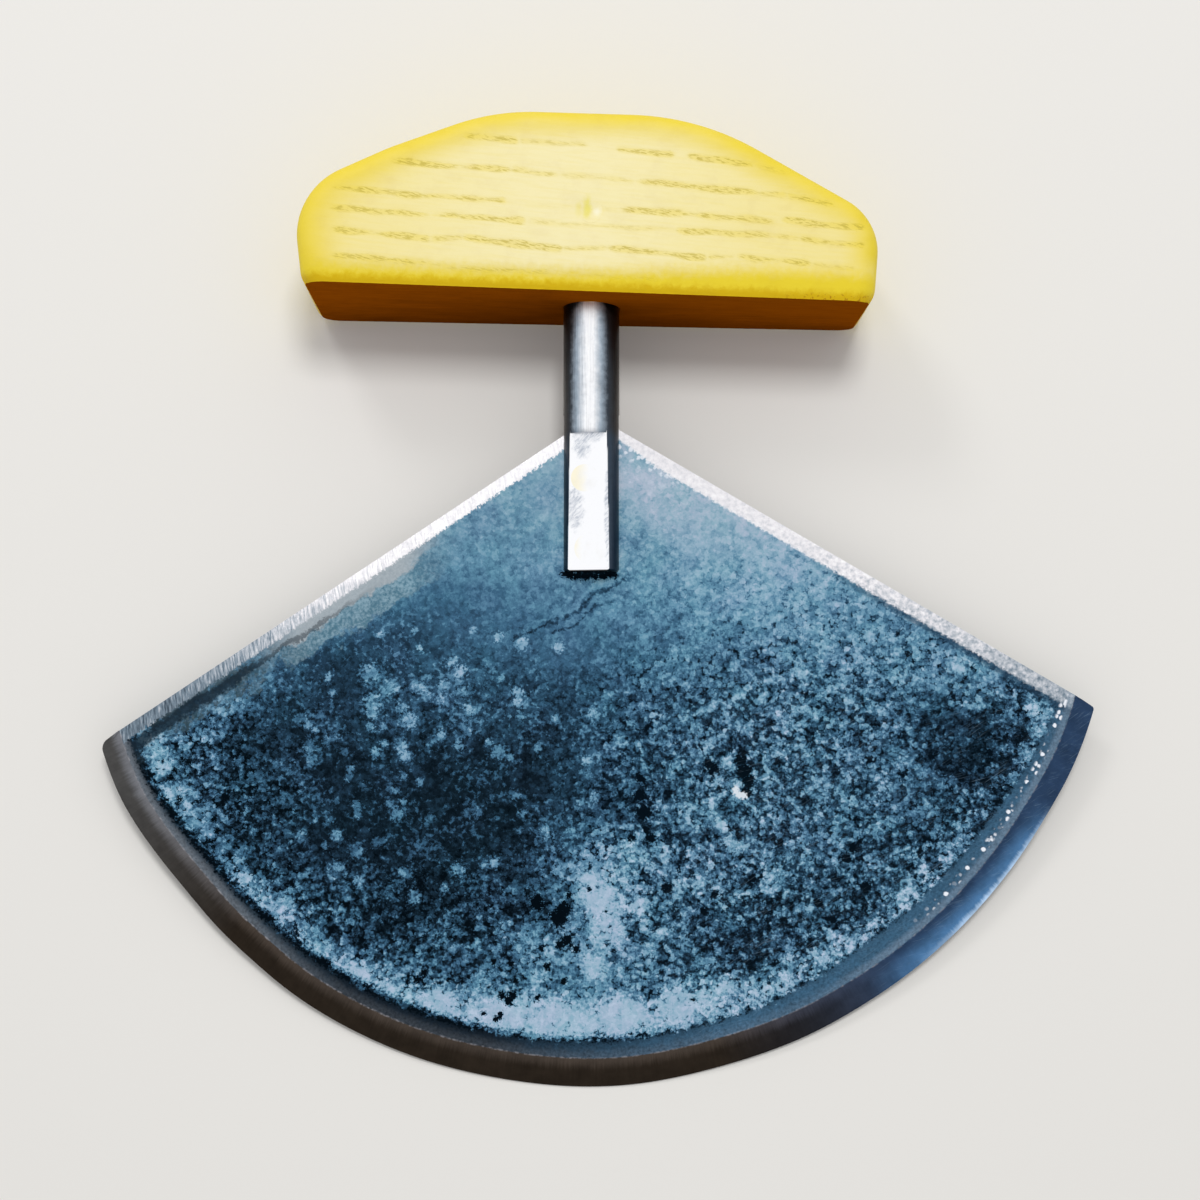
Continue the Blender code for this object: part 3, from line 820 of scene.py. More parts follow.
def blade_distances(sizes):
    """A function that gives a point's distances in from the left side, the right side and the shoulder."""
    shift, shoulder = shoulder_circle(sizes)
    sides = [side_tip(sizes, side) for side in (-1, 1)]

    def measure(point):
        flat = Vector((point.x, point.y, 0))
        left, right = ((tip - flat).dot(outward) for tip, outward in sides)
        inside = shoulder - (flat - Vector((0, shift, 0))).length
        return Vector((left, right, inside)) / MM

    return measure


def press_relief(bm, sizes, measure):
    """Files the chamfers into the front, and gives the forged face its unevenness and pits."""
    top = sizes.thickness / 2
    widths = (sizes.left_chamfer / MM, sizes.right_chamfer / MM)
    marks = bm.verts.layers.float_vector["marks"]
    for vert in bm.verts:
        if vert.co.z < top - SNAP:
            continue
        place = vert.co.xy / MM
        distances = measure(vert.co)
        drop = 0.0
        for distance, width, seed in zip(distances.xy, widths, (2.0, 5.0)):
            wavy = width * (1 + 0.16 * roughly(place.x, place.y, 3.0, seed))
            drop = max(drop, sizes.chamfer_depth / MM * (1 - distance / wavy))
        inside = min(smooth(distances.z, 0.3, 3.0), smooth(min(distances.xy), 1.5, 4.0))
        hammered = 0.5 + 0.5 * roughly(place.x, place.y, 7.0, 11.0)
        rough = 0.5 + 0.5 * roughly(place.x, place.y, 1.7, 13.0)
        pits, _, cracks = vert[marks]
        drop += inside * (0.07 * hammered + 0.02 * rough + 0.28 * pits + 0.05 * cracks)
        drop += 0.05 * (1 - smooth(distances.z, 1.2, 2.6)) * smooth(distances.z, -0.1, 1.0)
        vert.co.z -= drop * MM


def ground_away(angle):
    """How far the outer part of the blade is ground away at an angle, in millimetres."""
    for (start, low), (end, high) in zip(GROUND_AWAY, GROUND_AWAY[1:]):
        if start <= angle <= end:
            return low + (high - low) * (angle - start) / (end - start)
    return 0.0


def grind_outline(bm, sizes):
    """Draws the outer part of the blade in, by as much as it is ground away."""
    for vert in bm.verts:
        reach = vert.co.xy.length
        angle = math.degrees(math.atan2(vert.co.x, -vert.co.y))
        away = sum(ground_away(angle + step) for step in (-2, 0, 2)) / 3
        shrink = 1 - smooth(reach / sizes.radius, 0.6, 0.93) * away * MM / max(reach, MM)
        vert.co.x *= shrink
        vert.co.y *= shrink


# Half the angle of the cutting edge's arc, with a little to spare, and the grain of the hidden back
EDGE_REACH = 1.26
BACK_GRAIN = 0.3

# What the blade keeps for the points that aren't on its front, in place of tone and marks
ELSEWHERE = (0.3, 0, 0)

# The forged scale and the filed chamfers, from their darkest to their palest
SCALE_TONES = (
    (0.0, shade(6, 17, 26)), (0.15, shade(20, 37, 51)), (0.3, shade(37, 64, 86)),
    (0.45, shade(62, 102, 131)), (0.6, shade(99, 144, 171)), (0.75, shade(140, 174, 195)),
    (0.88, shade(164, 185, 206)), (1.0, shade(182, 198, 218)),
)
FILED_TONES = (
    (0.0, shade(50, 62, 74)), (0.35, shade(120, 136, 150)), (0.6, shade(186, 192, 200)),
    (0.85, shade(236, 234, 238)), (1.0, shade(254, 254, 255)),
)

# What changes along the cutting edge, from the left tip at 0 to the right tip at 1: the pale rim's width
# and strength, the ground band's width and the strength of the dark line beyond it
RIM_WIDTH = ((0.0, 0.8), (0.12, 0.6), (0.3, 0.5), (0.42, 0.8), (0.58, 0.8), (0.7, 0.45), (1.0, 0.3))
RIM_STRENGTH = ((0.0, 0.32), (0.17, 0.34), (0.25, 0.55), (0.45, 0.7), (0.6, 0.6), (0.74, 0.4), (1.0, 0.05))
BAND_WIDTH = (
    (0.0, 0.1), (0.12, 0.18), (0.3, 0.24), (0.5, 0.29), (0.65, 0.3), (0.74, 0.42), (0.88, 0.4), (1.0, 0.28),
)
DARK_LINE = ((0.0, 0.5), (0.2, 0.7), (0.35, 0.85), (0.45, 0.5), (0.6, 0.35), (0.7, 0.0), (1.0, 0.0))

# Painted glints beside the right one of the large pits, in millimetres: middle and how much it is shrunk
PIT_GLINTS = (((26.3, -42.4), (0.9, 1.5)), ((25.3, -41.6), (1.7, 1.2)))


def side_nodes(vector, sizes, side):
    """The distance in from a straight side, in millimetres."""
    tip, outward = side_tip(sizes, side)
    along = node("VectorMath", {0: vector, 1: outward}, "Value", operation="DOT_PRODUCT")
    return tip.dot(outward) / MM - along


def shoulder_nodes(x, y, sizes):
    """The distance in from the bevel's shoulder, in millimetres."""
    shift, shoulder = shoulder_circle(sizes)
    inputs = {0: node("CombineXYZ", {"X": x, "Y": y}), 1: (0, shift / MM, 0)}
    return shoulder / MM - node("VectorMath", inputs, "Value", operation="DISTANCE")


def along_edge(along, stops):
    """A number that changes along the cutting edge, from (share, number) stops."""
    return ramp(along, [(place, (value, value, value)) for place, value in stops])


def scale_value(tree, vector, off_back, inside, along):
    """The lightness of the forged scale: clouds, grain, pale clumps, pits and the pale rim."""
    light, grain, clumps = attribute(tree, "tone")
    light = blend(off_back, fog(vector, 0.05, 4.0, 0.6) - 0.1, light)
    grain = blend(off_back, BACK_GRAIN, grain)
    clumps, pits, bright, cracks = [mask * off_back for mask in (clumps, *attribute(tree, "marks"))]

    fine = fog(vector, 1.9, 3.0, 0.6)
    mottle = fog(vector, 0.55, 5.0, 0.74)
    coarse = fog(vector, 0.3, 3.0, 0.6)
    fuzz = fine - 0.5

    # Clumps, ragged at their borders, with smaller ones strewn between them
    small, small_reach = flakes(vector, 1.25, 0.9)
    large = flakes(vector, 0.6, 1.8)[0]
    strewn = fog(vector, 1.0, 3.0, 0.6) + fog(vector, 0.11, 2.0) * 0.5
    strewn = rise(strewn, 0.77, 0.9) * rise(light, 0.5, 0.3)
    clumps = rise(clumps + fuzz * 1.8, 0.4, 0.88) * blend(large, 0.65, 1.3)
    value = light + larger(clumps * 0.78, strewn * 0.52) * 0.42

    # Pale rim, broken by darker places
    beyond = inside - ground_width(along) + (mottle - 0.5) * 5.0
    faded = beyond / (along_edge(along, RIM_WIDTH) * 9.0)
    rim = rise(faded, 1.4, 0.5) * rise(beyond, -0.6, 0.8) * along_edge(along, RIM_STRENGTH)
    bright = rise(bright + fuzz * 1.2, 0.3, 0.9)
    value = value + rim * 0.72 + bright * 0.22
    grain += rise(inside, 15.0, 8.0) * 0.12

    # Grain: clouded lighter and darker grains, softer where the scale is pale, and black specks
    soft = (rise(mottle, 0.38, 0.62) - 0.5) * 0.6
    tiny = flakes(vector, 2.3, 0.4)[0]
    for grains, strength in ((coarse, 1.0), (small, 0.85), (large, 0.45), (tiny, 0.5)):
        soft += (grains - 0.5) * strength
    value = smaller(value, 0.86)
    value += (soft + fuzz * 0.45) * blend(rise(value, 0.66, 0.86), grain, 0.15)
    specks = rise(small_reach + fuzz * 0.5, 0.66, 0.78) * rise(mottle, 0.62, 0.42)
    value -= specks * rise(grain, 0.1, 0.35) * rise(value, 0.84, 0.7) * 0.45
    crumbs = fog(vector, 4.2, 2.0, 0.6) - 0.5
    value -= rise(pits + (fuzz * 1.1 + crumbs * 1.3), 0.38, 0.7) * 0.95
    return value - rise(cracks + fuzz * 2.2, 0.3, 1.0) * 0.22, fine, mottle


def ground_width(along):
    """The width of the ground band inside the shoulder, in millimetres."""
    return along_edge(along, BAND_WIDTH) * 10.0


def ground_band(finishes, value, fine, mottle, inside, along):
    """The scale's lightness with a dark line beyond the ground band, and the band's share and colour."""
    ragged = inside - ground_width(along) + (fine - 0.5) * 3.2
    dark_width = blend(rise(along, 0.45, 0.3), 1.4, 1.9)
    line = rise(ragged, -1.1, -0.2) * rise(ragged / dark_width, 1.0, 0.25)
    value -= line * along_edge(along, DARK_LINE) * 0.7
    bands = (finishes.slate, finishes.slate, finishes.dark_band, finishes.dark_band, finishes.blue_band)
    inner = ramp(along, tuple(zip((0.0, 0.2, 0.3, 0.42, 0.62), bands)))
    outer = mix(blend(rise(along, 0.16, 0.3), 0.32, 0.1), inner, finishes.worn_band)
    tint = mix(rise(inside + (mottle - 0.5) * 2.4, 2.1, 0.3), inner, outer)
    grains = fine * 0.7 + mottle * 0.5
    return value, rise(ragged, 0.2, -0.7), times(tint, spread(grains, 0.42, 0.78, 0.6, 1.44))


def worn_side(tint, x, front, left, fine, mottle):
    """Lays over a colour what lies inside the left chamfer: a grey band, a dark line and a teal band."""
    lumps = fog(node("CombineXYZ", {"X": x, "Y": left, "Z": 40.0}), 0.17, 3.0, 0.6)

    def uneven(mottled, lumpy, noise_field=mottle):
        return left + (noise_field - 0.5) * mottled + (lumps - 0.5) * lumpy

    teal = rise(uneven(5.5, 11.0) + blend(rise(x, -44.0, -56.0), 0.0, 2.2), 8.8, 7.8) * front
    teal *= rise(x, -82.0, -70.0) * rise(x, -21.0, -35.0)
    grains = rise(fine * 0.6 + mottle * 0.6, 0.48, 0.74)
    rubbed = mix(grains, shade(84, 122, 140), shade(142, 170, 184))
    tint = mix(teal * blend(rise(x, -60.0, -46.0), 0.3, 0.85), tint, rubbed)
    grey = rise(uneven(3.4, 5.0), 4.6, 3.9) * front
    grey *= rise(x, -60.0, -50.0) * rise(x, -25.0, -34.0)
    tint = mix(grey * 0.85, tint, mix(fine, shade(150, 160, 168), shade(186, 192, 196)))
    line = abs(uneven(1.6, 3.0, fine) - 3.9) / blend(rise(x, -56.0, -66.0), 0.45, 1.1)
    line = rise(line, 1.3, 0.5) * front * rise(x, -34.0, -50.0)
    return mix(line * blend(rise(x, -54.0, -64.0), 0.6, 0.9), tint, shade(26, 40, 52))


def filed_sides(vector, x, y, left, right, fine):
    """The filed chamfers along the straight sides: where they are, their colour and their file marks."""
    fuzz = (fine - 0.5) * 2.0
    left_filed = rise(left + fuzz, 2.45, 2.05)
    narrowed = right + blend(rise(x, 3.0, 14.0), 1.0, 0.0)
    right_filed = rise(narrowed + fuzz * 0.7, 2.8, 2.3)
    strokes = fog(stretched(vector, (0.35, 2.4, 1.0), -1.75), 1.0, 3.0, 0.65)
    marks = blend(right_filed, strokes, fog(vector, 1.3, 3.0, 0.6))
    uneven = (marks - 0.5) * blend(right_filed, 1.5, 1.1) * blend(rise(y, 14.0, -14.0), 0.4, 1.0)
    light = 0.9 - rise(y, 2.0, -30.0) * 0.62 + uneven
    light += right_filed * blend(rise(y, 0.0, -24.0), -0.06, 0.16)
    return larger(left_filed, right_filed), ramp(light, FILED_TONES), marks


def bevel_tint(finishes, vector, inside, angle, along):
    """The colour of the ground bevel with its painted reflection and glints, and the fine lines ground
    across it.
    """
    streaks = fog(node("CombineXYZ", {"X": angle * 230.0, "Y": inside * 0.12}), 1.0, 4.0, 0.7)
    # Painted reflection: brown on the left and in the middle, darkening towards the edge there, for dark
    # surroundings mirrored in the bevel; on the right a pale blue band of painted glint
    bevels = (finishes.pale_bevel, finishes.brown_bevel_reflection, finishes.brown_bevel_reflection, finishes.blue_bevel)
    inner = ramp(along, tuple(zip((0.06, 0.2, 0.6, 0.76), bevels)))
    outer = mix(rise(along, 0.66, 0.76), times(inner, (0.38, 0.36, 0.32)), inner)
    tip_dull = rise(along, 0.93, 0.88)
    outer = mix(rise(along, 0.72, 0.79) * tip_dull, outer, finishes.bevel_glint)
    across = inside + (streaks - 0.5) * 1.6
    depth = -across / blend(rise(along, 0.68, 0.8), 2.4, 4.2)
    tint = mix(rise(depth, 0.06, 1.0), inner, outer)
    # Painted glint: near white along the very edge on the right
    tint = mix(rise(across, -3.5, -4.6) * (rise(along, 0.76, 0.83) * tip_dull), tint, shade(178, 206, 236))
    clouds = fog(vector, 0.3, 4.0, 0.6) * 1.4 + streaks * 0.5
    return times(tint, spread(clouds, 0.65, 1.25, 0.78, 1.22)), streaks


def blade_material(sizes, finishes):
    """The forged face with its ground band, worn side and chamfers, and the ground bevel round it."""
    material, tree, shader = new_material("forged_blade_steel")
    vector = Field(add_node(tree, "Attribute", attribute_name="plan").outputs["Vector"])
    x, y, z = split(vector)
    left, right = (side_nodes(vector, sizes, side) for side in (-1, 1))
    inside = shoulder_nodes(x, y, sizes)
    angle = maths("ARCTAN2", x, -y)
    along = spread(angle, -EDGE_REACH, EDGE_REACH)
    front = rise(z, 0.0, 0.5)
    off_back = rise(z, -0.97, -0.9)

    value, fine, mottle = scale_value(tree, vector, off_back, inside, along)
    value, ground, ground_tint = ground_band(finishes, value, fine, mottle, inside, along)
    teal = mix(fog(vector, 0.14, 4.0, 0.65), (1.14, 0.95, 1.03), (0.82, 1.05, 0.97))
    tint = times(ramp(value, SCALE_TONES), teal)
    murky = rise(value, 0.36, 0.12) * rise(x, 4.0, -10.0)
    tint = mix(murky, tint, (0.78, 0.72, 0.68), "MULTIPLY")
    tint = mix(rise(y, -12.0, 12.0) * 0.5, tint, times(tint, (1.22, 1.02, 0.94)))
    tint = worn_side(tint, x, front, left, fine, mottle)
    tint = mix(ground, tint, ground_tint)
    edged = rise(right + (fine - 0.5) * 1.2, 3.9, 3.1) * rise(x, 36.0, 56.0)
    tint = mix(edged * 0.7, tint, shade(38, 62, 84))

    # The filed sides, with painted glints strewn inside the right one
    filed, filed_tint, marks = filed_sides(vector, x, y, left, right, fine)
    filed *= off_back
    strewn = rise(right, 6.0, 1.5) * (rise(x, 26.0, 8.0) * rise(x, 3.0, 5.0))
    strewn = rise(strewn, 0.1, 0.8) * beads(vector, 0.7, 0.32) * front
    tint = mix(filed, mix(strewn, tint, shade(214, 222, 232)), filed_tint)

    # The bevel, and painted highlights: the shoulder's broken bright line, with its string of painted glints
    # on the right
    bevel = rise(inside, 0.06, -0.06) * off_back
    bevel_colour, streaks = bevel_tint(finishes, vector, inside, angle, along)
    tint = mix(bevel, tint, bevel_colour)
    sparkle = rise(fog(vector, 0.9, 3.0, 0.7), 0.42, 0.66)
    line = rise(inside, -0.24, -0.02) * rise(inside, 0.28, 0.04) * sparkle
    tint = mix(line * blend(rise(along, 0.3, 0.4), 0.7, 0.45), tint, shade(150, 150, 156))
    rounded = rise(inside, -0.1, 0.3) * rise(inside, 1.6, 0.7) * rise(along, 0.68, 0.76)
    tint = mix(rounded * 0.36, tint, mix(fine, shade(70, 96, 120), shade(160, 180, 200)))
    string = rise(inside, 0.9, 1.3) * rise(inside, 2.5, 1.9) * rise(along, 0.77, 0.82)
    tint = mix(string * beads(vector, 0.5, 0.28), tint, shade(236, 240, 248))
    # Painted glints beside the right one of the large pits
    for middle, shrink in PIT_GLINTS:
        pit_glint = rise(spot_reach(vector, middle, shrink, (fine - 0.5) * 2.4), 1.1, 0.7) * front
        tint = mix(pit_glint, tint, shade(214, 222, 230))
    worn = rise(x, 8.0, 24.0) * 0.45 * larger(rise(inside, 0.0, 0.5), rise(along, 0.7, 0.78))
    scratches = use_group(tree, "scratches", direction=-0.6, density=0.4)
    tint = mix(scratches * worn, tint, shade(150, 180, 204))
    inputs = {"Base Color": tint, "Roughness": blend(larger(filed, bevel), 0.46, 0.33), "Metallic": 1.0}
    finish_shader(shader, inputs, fine + marks * filed + streaks * bevel * 0.4, depth=0.00006)
    return material


class ULU_OT_blade(bpy.types.Operator):
    """Makes the forged and ground blade"""

    bl_idname = "ulu.blade"
    bl_label = "Blade"

    def execute(self, context):
        sizes = context.scene.ulu_blade
        measure = blade_distances(sizes)
        bm = blade_shape(sizes)
        on_front = sizes.thickness / 2 - SNAP
        for name, looks in (("tone", forged_tone), ("marks", forged_marks)):
            store(bm, name, lambda point: looks(point.xy / MM) if point.z > on_front else ELSEWHERE)
        store(bm, "plan", lambda point: point / MM)
        press_relief(bm, sizes, measure)
        grind_outline(bm, sizes)
        material = blade_material(sizes, context.scene.ulu_finishes)
        finish_piece("forged_blade", bm, material, ["blade"])
        return {"FINISHED"}


# Stem and rivets

# Each rivet: its height above the arc's centre, its offset from the stem's axis and its head's diameter
RIVETS = {
    "upper": (0.0133, -0.0014, 0.0048),
    "lower": (0.0008, -0.0006, 0.0054),
}
RIVET_PROUD = 0.00002

# Room in the slot beside the blade and above it
SLOT_SIDE_ROOM = 0.00005
SLOT_TOP_ROOM = 0.0002

# Rings of points along the bar
BAR_STEPS = 48


def front_flat(sizes):
    """A point on the front flat, at its top, and how the flat is turned."""
    lean = math.atan2(sizes.flat_at_top - sizes.flat_at_foot, sizes.flat_length)
    turn = Matrix.Rotation(sizes.flat_turn, 3, "Y")
    point = turn @ Vector((0, sizes.flat_length - sizes.below_centre, sizes.flat_at_top))
    return point, turn @ Matrix.Rotation(lean, 3, "X")


def stem_shape(sizes, blade):
    """The bar with its rounded foot, its two flats and the blade's slot."""
    radius = sizes.diameter / 2
    handle = bpy.context.scene.ulu_handle
    low = -sizes.below_centre
    top = handle.foot + sizes.tang
    start = low + sizes.end_chamfer
    side = [(radius, start + (top - low - sizes.end_chamfer) * i / BAR_STEPS) for i in range(BAR_STEPS + 1)]
    profile = [(0, low), (radius - sizes.end_chamfer, low), *side, (0, top)]
    bar = upright(turned(profile, segments=128), (0, 0, 0))
    reach = sizes.diameter
    point, turn = front_flat(sizes)
    front = block(Vector((-reach, -reach * 4, 0)), Vector((reach, 0, reach)))
    bmesh.ops.rotate(front, verts=front.verts, matrix=turn)
    shifted(front, point)
    back = block(
        Vector((-reach, low - reach, -reach)),
        Vector((reach, sizes.flat_length - sizes.below_centre, -sizes.back_flat)),
    )
    wall = blade.thickness / 2 + SLOT_SIDE_ROOM
    slot_top = blade.apex_height + SLOT_TOP_ROOM
    slot = block(Vector((-reach, low - reach, -wall)), Vector((reach, slot_top, wall)))
    return carve(bar, [front, back, slot])


# Dull patches on the stem's front flat, in millimetres: middle and radii
DULL_PATCHES = (
    ((-1.6, 19.2), (1.9, 2.6)), ((-2.8, 8.0), (1.7, 4.2)),
    ((2.9, 7.0), (0.7, 10.0)), ((-0.4, 20.9), (3.2, 1.6)),
)


def steel_material(finishes):
    """A drawn bar with a painted reflection across it, bright along its middle and dark on its flanks, and
    its filed flats.
    """
    material, tree, shader = new_material("bright_stem_steel")
    vector = knife_vector(tree)
    x, y, _ = split(vector)
    ragged = fog(vector, 0.9, 4.0, 0.65) - 0.5
    drawn = fog(stretched(vector, (4.0, 0.12, 4.0)), 1.0, 4.0, 0.7)
    across = x + ragged * 1.1 + (drawn - 0.5) * 0.8
    # Painted reflection across the round bar: dark at the flanks, bright along the middle
    place = spread(across, -5.0, 5.0)
    half = (finishes.dark_flank_reflection, finishes.shoulder, finishes.drawn, finishes.bright)
    tint = ramp(place, tuple(zip((0.0, 0.13, 0.24, 0.42, 0.54, 0.67, 0.79, 1.0), half + half[::-1])))
    tint = times(tint, spread(drawn, 0.3, 0.7, 0.84, 1.12))

    # Below the flats' top the painted reflection turns dark blue-grey at the flanks and slate between them,
    # and just under the handle the bar is darkened as painted shade, most at the sides
    dark_flank_reflection, middle = shade(28, 33, 42), shade(58, 70, 84)
    low = ramp(place, ((0.0, dark_flank_reflection), (0.16, middle), (0.84, middle), (1.0, dark_flank_reflection)))
    tint = mix(rise(y, 22.5, 20.0), tint, low)
    handle_shade = rise(y + (abs(across) - 2.7) * 0.9, 42.9, 44.6)
    tint = mix(handle_shade * 0.9, tint, finishes.grime_and_shade)

    # The filed flat, bright steel painted near white for the light it mirrors (painted reflection), with
    # dull patches that the file missed
    strokes = fog(stretched(vector, (0.6, 2.2, 1.0), -0.8), 1.0, 4.0, 0.7, 0.8)
    dull = 0.0
    for centre, radii in DULL_PATCHES:
        reach = spot_reach(vector, centre, (1 / radii[0], 1 / radii[1]), ragged * 1.4)
        dull = larger(dull, rise(reach, 1.1, 0.5))
    dull *= rise(strokes, 0.3, 0.75)
    filed = attribute(tree, "filed")[0]
    tint = mix(filed, tint, mix(dull * 0.8, finishes.bright, shade(150, 162, 180)))
    # Painted shade on the end of the foot
    tint = mix(rise(y, -2.85, -3.1), tint, finishes.grime_and_shade)
    grime_and_shade = use_group(tree, "grime_and_shade", amount=0.2) * rise(filed, 0.9, 0.1)
    scratches = use_group(tree, "scratches", direction=1.4, density=0.5)
    inputs = {"Base Color": mix(grime_and_shade, tint, finishes.oxide), "Roughness": blend(scratches, 0.28, 0.42)}
    finish_shader(shader, {**inputs, "Metallic": 1.0}, drawn + strokes * filed, depth=0.00003)
    return material


def brass_material(finishes):
    """Brass that the file has rubbed bright on the right of each head."""
    material, tree, shader = new_material("pale_rivet_brass")
    vector = knife_vector(tree)
    x, y, z = split(vector)
    rubbed = x + fog(vector, 0.6, 3.0) * 2.0 + blend(rise(y, 6.0, 8.0), 1.2, 0.0)
    tint = mix(rise(rubbed, -2.0, 0.8) * rise(z, -1.0, 1.0), finishes.brass, finishes.bright)
    tint = mix(use_group(tree, "grime_and_shade", amount=0.12), tint, shade(190, 180, 150))
    scratches = use_group(tree, "scratches", direction=0.8, density=0.5)
    inputs = {"Base Color": tint, "Roughness": blend(scratches, 0.3, 0.42), "Metallic": 1.0}
    finish_shader(shader, inputs, scratches, depth=0.00002)
    return material


class ULU_OT_stem(bpy.types.Operator):
    """Makes the slotted and filed stem"""

    bl_idname = "ulu.stem"
    bl_label = "Stem"

    def execute(self, context):
        sizes = context.scene.ulu_stem
        bm = stem_shape(sizes, context.scene.ulu_blade)
        point, turn = front_flat(sizes)
        direction = turn @ Vector((0, 0, 1))
        top = sizes.flat_length - sizes.below_centre + MM / 10

        def filed(place):
            on_front = abs((place - point).dot(direction)) < SNAP * 20
            on_back = abs(place.z + sizes.back_flat) < SNAP * 20
            return Vector((1.0 if place.y < top and (on_front or on_back) else 0.0, 0, 0))

        store(bm, "filed", filed)
        material = steel_material(context.scene.ulu_finishes)
        finish_piece("bright_stem", bm, material, ["stem"])
        return {"FINISHED"}


class ULU_OT_rivets(bpy.types.Operator):
    """Makes the two flush rivets"""

    bl_idname = "ulu.rivets"
    bl_label = "Rivets"

    def execute(self, context):
        sizes = context.scene.ulu_stem
        material = brass_material(context.scene.ulu_finishes)
        point, turn = front_flat(sizes)
        direction = turn @ Vector((0, 0, 1))
        reach = sizes.diameter
        for name, (height, offset, head) in RIVETS.items():
            shank = sizes.shank / 2
            flare = (head / 2 - shank) / sizes.countersink
            level = point.z - direction.dot(Vector((offset, height, 0)) - point.xy.to_3d()) / direction.z
            bm = turned(
                (
                    (0, -reach),
                    (shank + flare * (reach - sizes.back_flat + sizes.countersink), -reach),
                    (shank, sizes.countersink - sizes.back_flat),
                    (shank, level - sizes.countersink),
                    (shank + flare * (reach - level + sizes.countersink), reach),
                    (0, reach),
                ),
                segments=64,
            )
            shifted(bm, (offset, height, 0))
            slice_off(bm, point + direction * RIVET_PROUD, direction)
            slice_off(bm, Vector((0, 0, -sizes.back_flat - RIVET_PROUD)), Vector((0, 0, -1)))
            finish_piece(name + "_brass_rivet", bm, material, [name + "_rivet"])
        return {"FINISHED"}


# Handle

# The handle's corners, counter-clockwise from the lower left: along it from the stem's axis as a share
# of its length, above its foot as a share of its height, and the corner's radius in metres
HANDLE_CORNERS = (
    (-0.493, 0.0, 0.005),
    (0.482, 0.0, 0.005),
    (0.496, 0.419, 0.0105),
    (0.186, 0.967, 0.0465),
    (-0.167, 1.0, 0.040),
    (-0.347, 0.803, 0.048),
    (-0.515, 0.572, 0.0195),
)

# Lines of open pores across the front, in millimetres: start, end and strength
GRAIN_LINES = (
    ((-22.4, 72.3), (-12.8, 71.4), 1.0),
    ((-12.8, 71.4), (-0.6, 70.7), 0.55),
    ((4.3, 70.0), (14.6, 68.9), 0.9),
    ((16.7, 68.9), (28.4, 67.1), 1.0),
    ((-35.1, 67.8), (-14.0, 66.2), 1.0),
    ((-14.0, 66.2), (-6.0, 65.3), 0.6),
    ((7.8, 64.3), (29.1, 62.1), 1.0),
    ((34.0, 61.8), (42.3, 60.0), 0.9),
    ((-45.2, 63.2), (-29.0, 61.7), 0.9),
    ((-23.4, 61.2), (-14.8, 60.7), 0.9),
    ((-12.0, 60.2), (-3.0, 59.6), 0.25),
    ((5.0, 59.3), (31.8, 57.0), 1.0),
    ((33.2, 57.3), (47.7, 55.9), 1.0),
    ((-45.7, 59.6), (-27.9, 58.2), 0.9),
    ((-23.5, 58.0), (-11.7, 57.0), 1.0),
    ((14.6, 55.5), (31.8, 54.5), 1.0),
    ((36.0, 54.1), (47.6, 52.7), 1.0),
    ((-45.3, 55.8), (-27.9, 53.9), 1.0),
    ((-22.7, 54.2), (-4.9, 52.2), 1.1),
    ((2.9, 52.3), (20.1, 50.6), 1.0),
    ((25.0, 50.9), (38.1, 49.5), 0.9),
    ((-45.2, 51.1), (-28.5, 49.8), 0.7),
    ((-23.3, 48.8), (-7.1, 48.1), 0.6),
    ((-6.0, 65.3), (7.8, 64.3), 0.5),
    ((29.1, 62.1), (34.0, 61.8), 0.7),
    ((28.4, 67.1), (34.0, 65.8), 0.5),
    ((-29.0, 61.7), (-23.4, 61.2), 0.7),
    ((-3.0, 59.6), (5.0, 59.3), 0.3),
    ((-27.9, 58.2), (-23.5, 58.0), 0.8),
    ((-11.7, 57.0), (14.6, 55.5), 0.45),
    ((31.8, 54.5), (36.0, 54.1), 0.7),
    ((-27.9, 53.9), (-22.7, 54.2), 0.7),
    ((-4.9, 52.2), (2.9, 52.3), 0.6),
    ((20.1, 50.6), (25.0, 50.9), 0.7),
    ((38.1, 49.5), (46.0, 48.6), 0.5),
    ((-28.5, 49.8), (-23.3, 48.8), 0.5),
    ((-7.1, 48.1), (12.0, 46.6), 0.4),
)

# Depth and width of the pin's dimple, in millimetres
PIN_DIMPLE = 0.3
DIMPLE_WIDTH = 1.7

# Spacing of the grid on the handle's broad faces, along it and up it, and points round each corner
HANDLE_GRID = (0.0014, 0.0009)
CORNER_STEPS = 14


def handle_outline(sizes, fall):
    """The block's outline before sawing, with its underside falling to the right at a slope."""
    corners = []
    for along_share, up_share, _ in HANDLE_CORNERS:
        along = along_share * sizes.long_side
        up = up_share * sizes.height
        corners.append(Vector((along, up if up_share else -along * math.tan(fall) - sizes.sawn_off)))
    points = []
    for index, corner in enumerate(corners):
        before = corners[index - 1] - corner
        after = corners[(index + 1) % len(corners)] - corner
        half_angle = before.angle(after) / 2
        wanted = HANDLE_CORNERS[index][2] / math.tan(half_angle)
        reach = min(wanted, before.length / 2, after.length / 2)
        inwards = (before.normalized() + after.normalized()).normalized()
        centre = corner + inwards * reach / math.cos(half_angle)
        arm = corner + before.normalized() * reach - centre
        for step in range(CORNER_STEPS + 1):
            turn = (math.pi - 2 * half_angle) * step / CORNER_STEPS
            points.append(centre + Matrix.Rotation(turn, 2) @ arm)
    return points


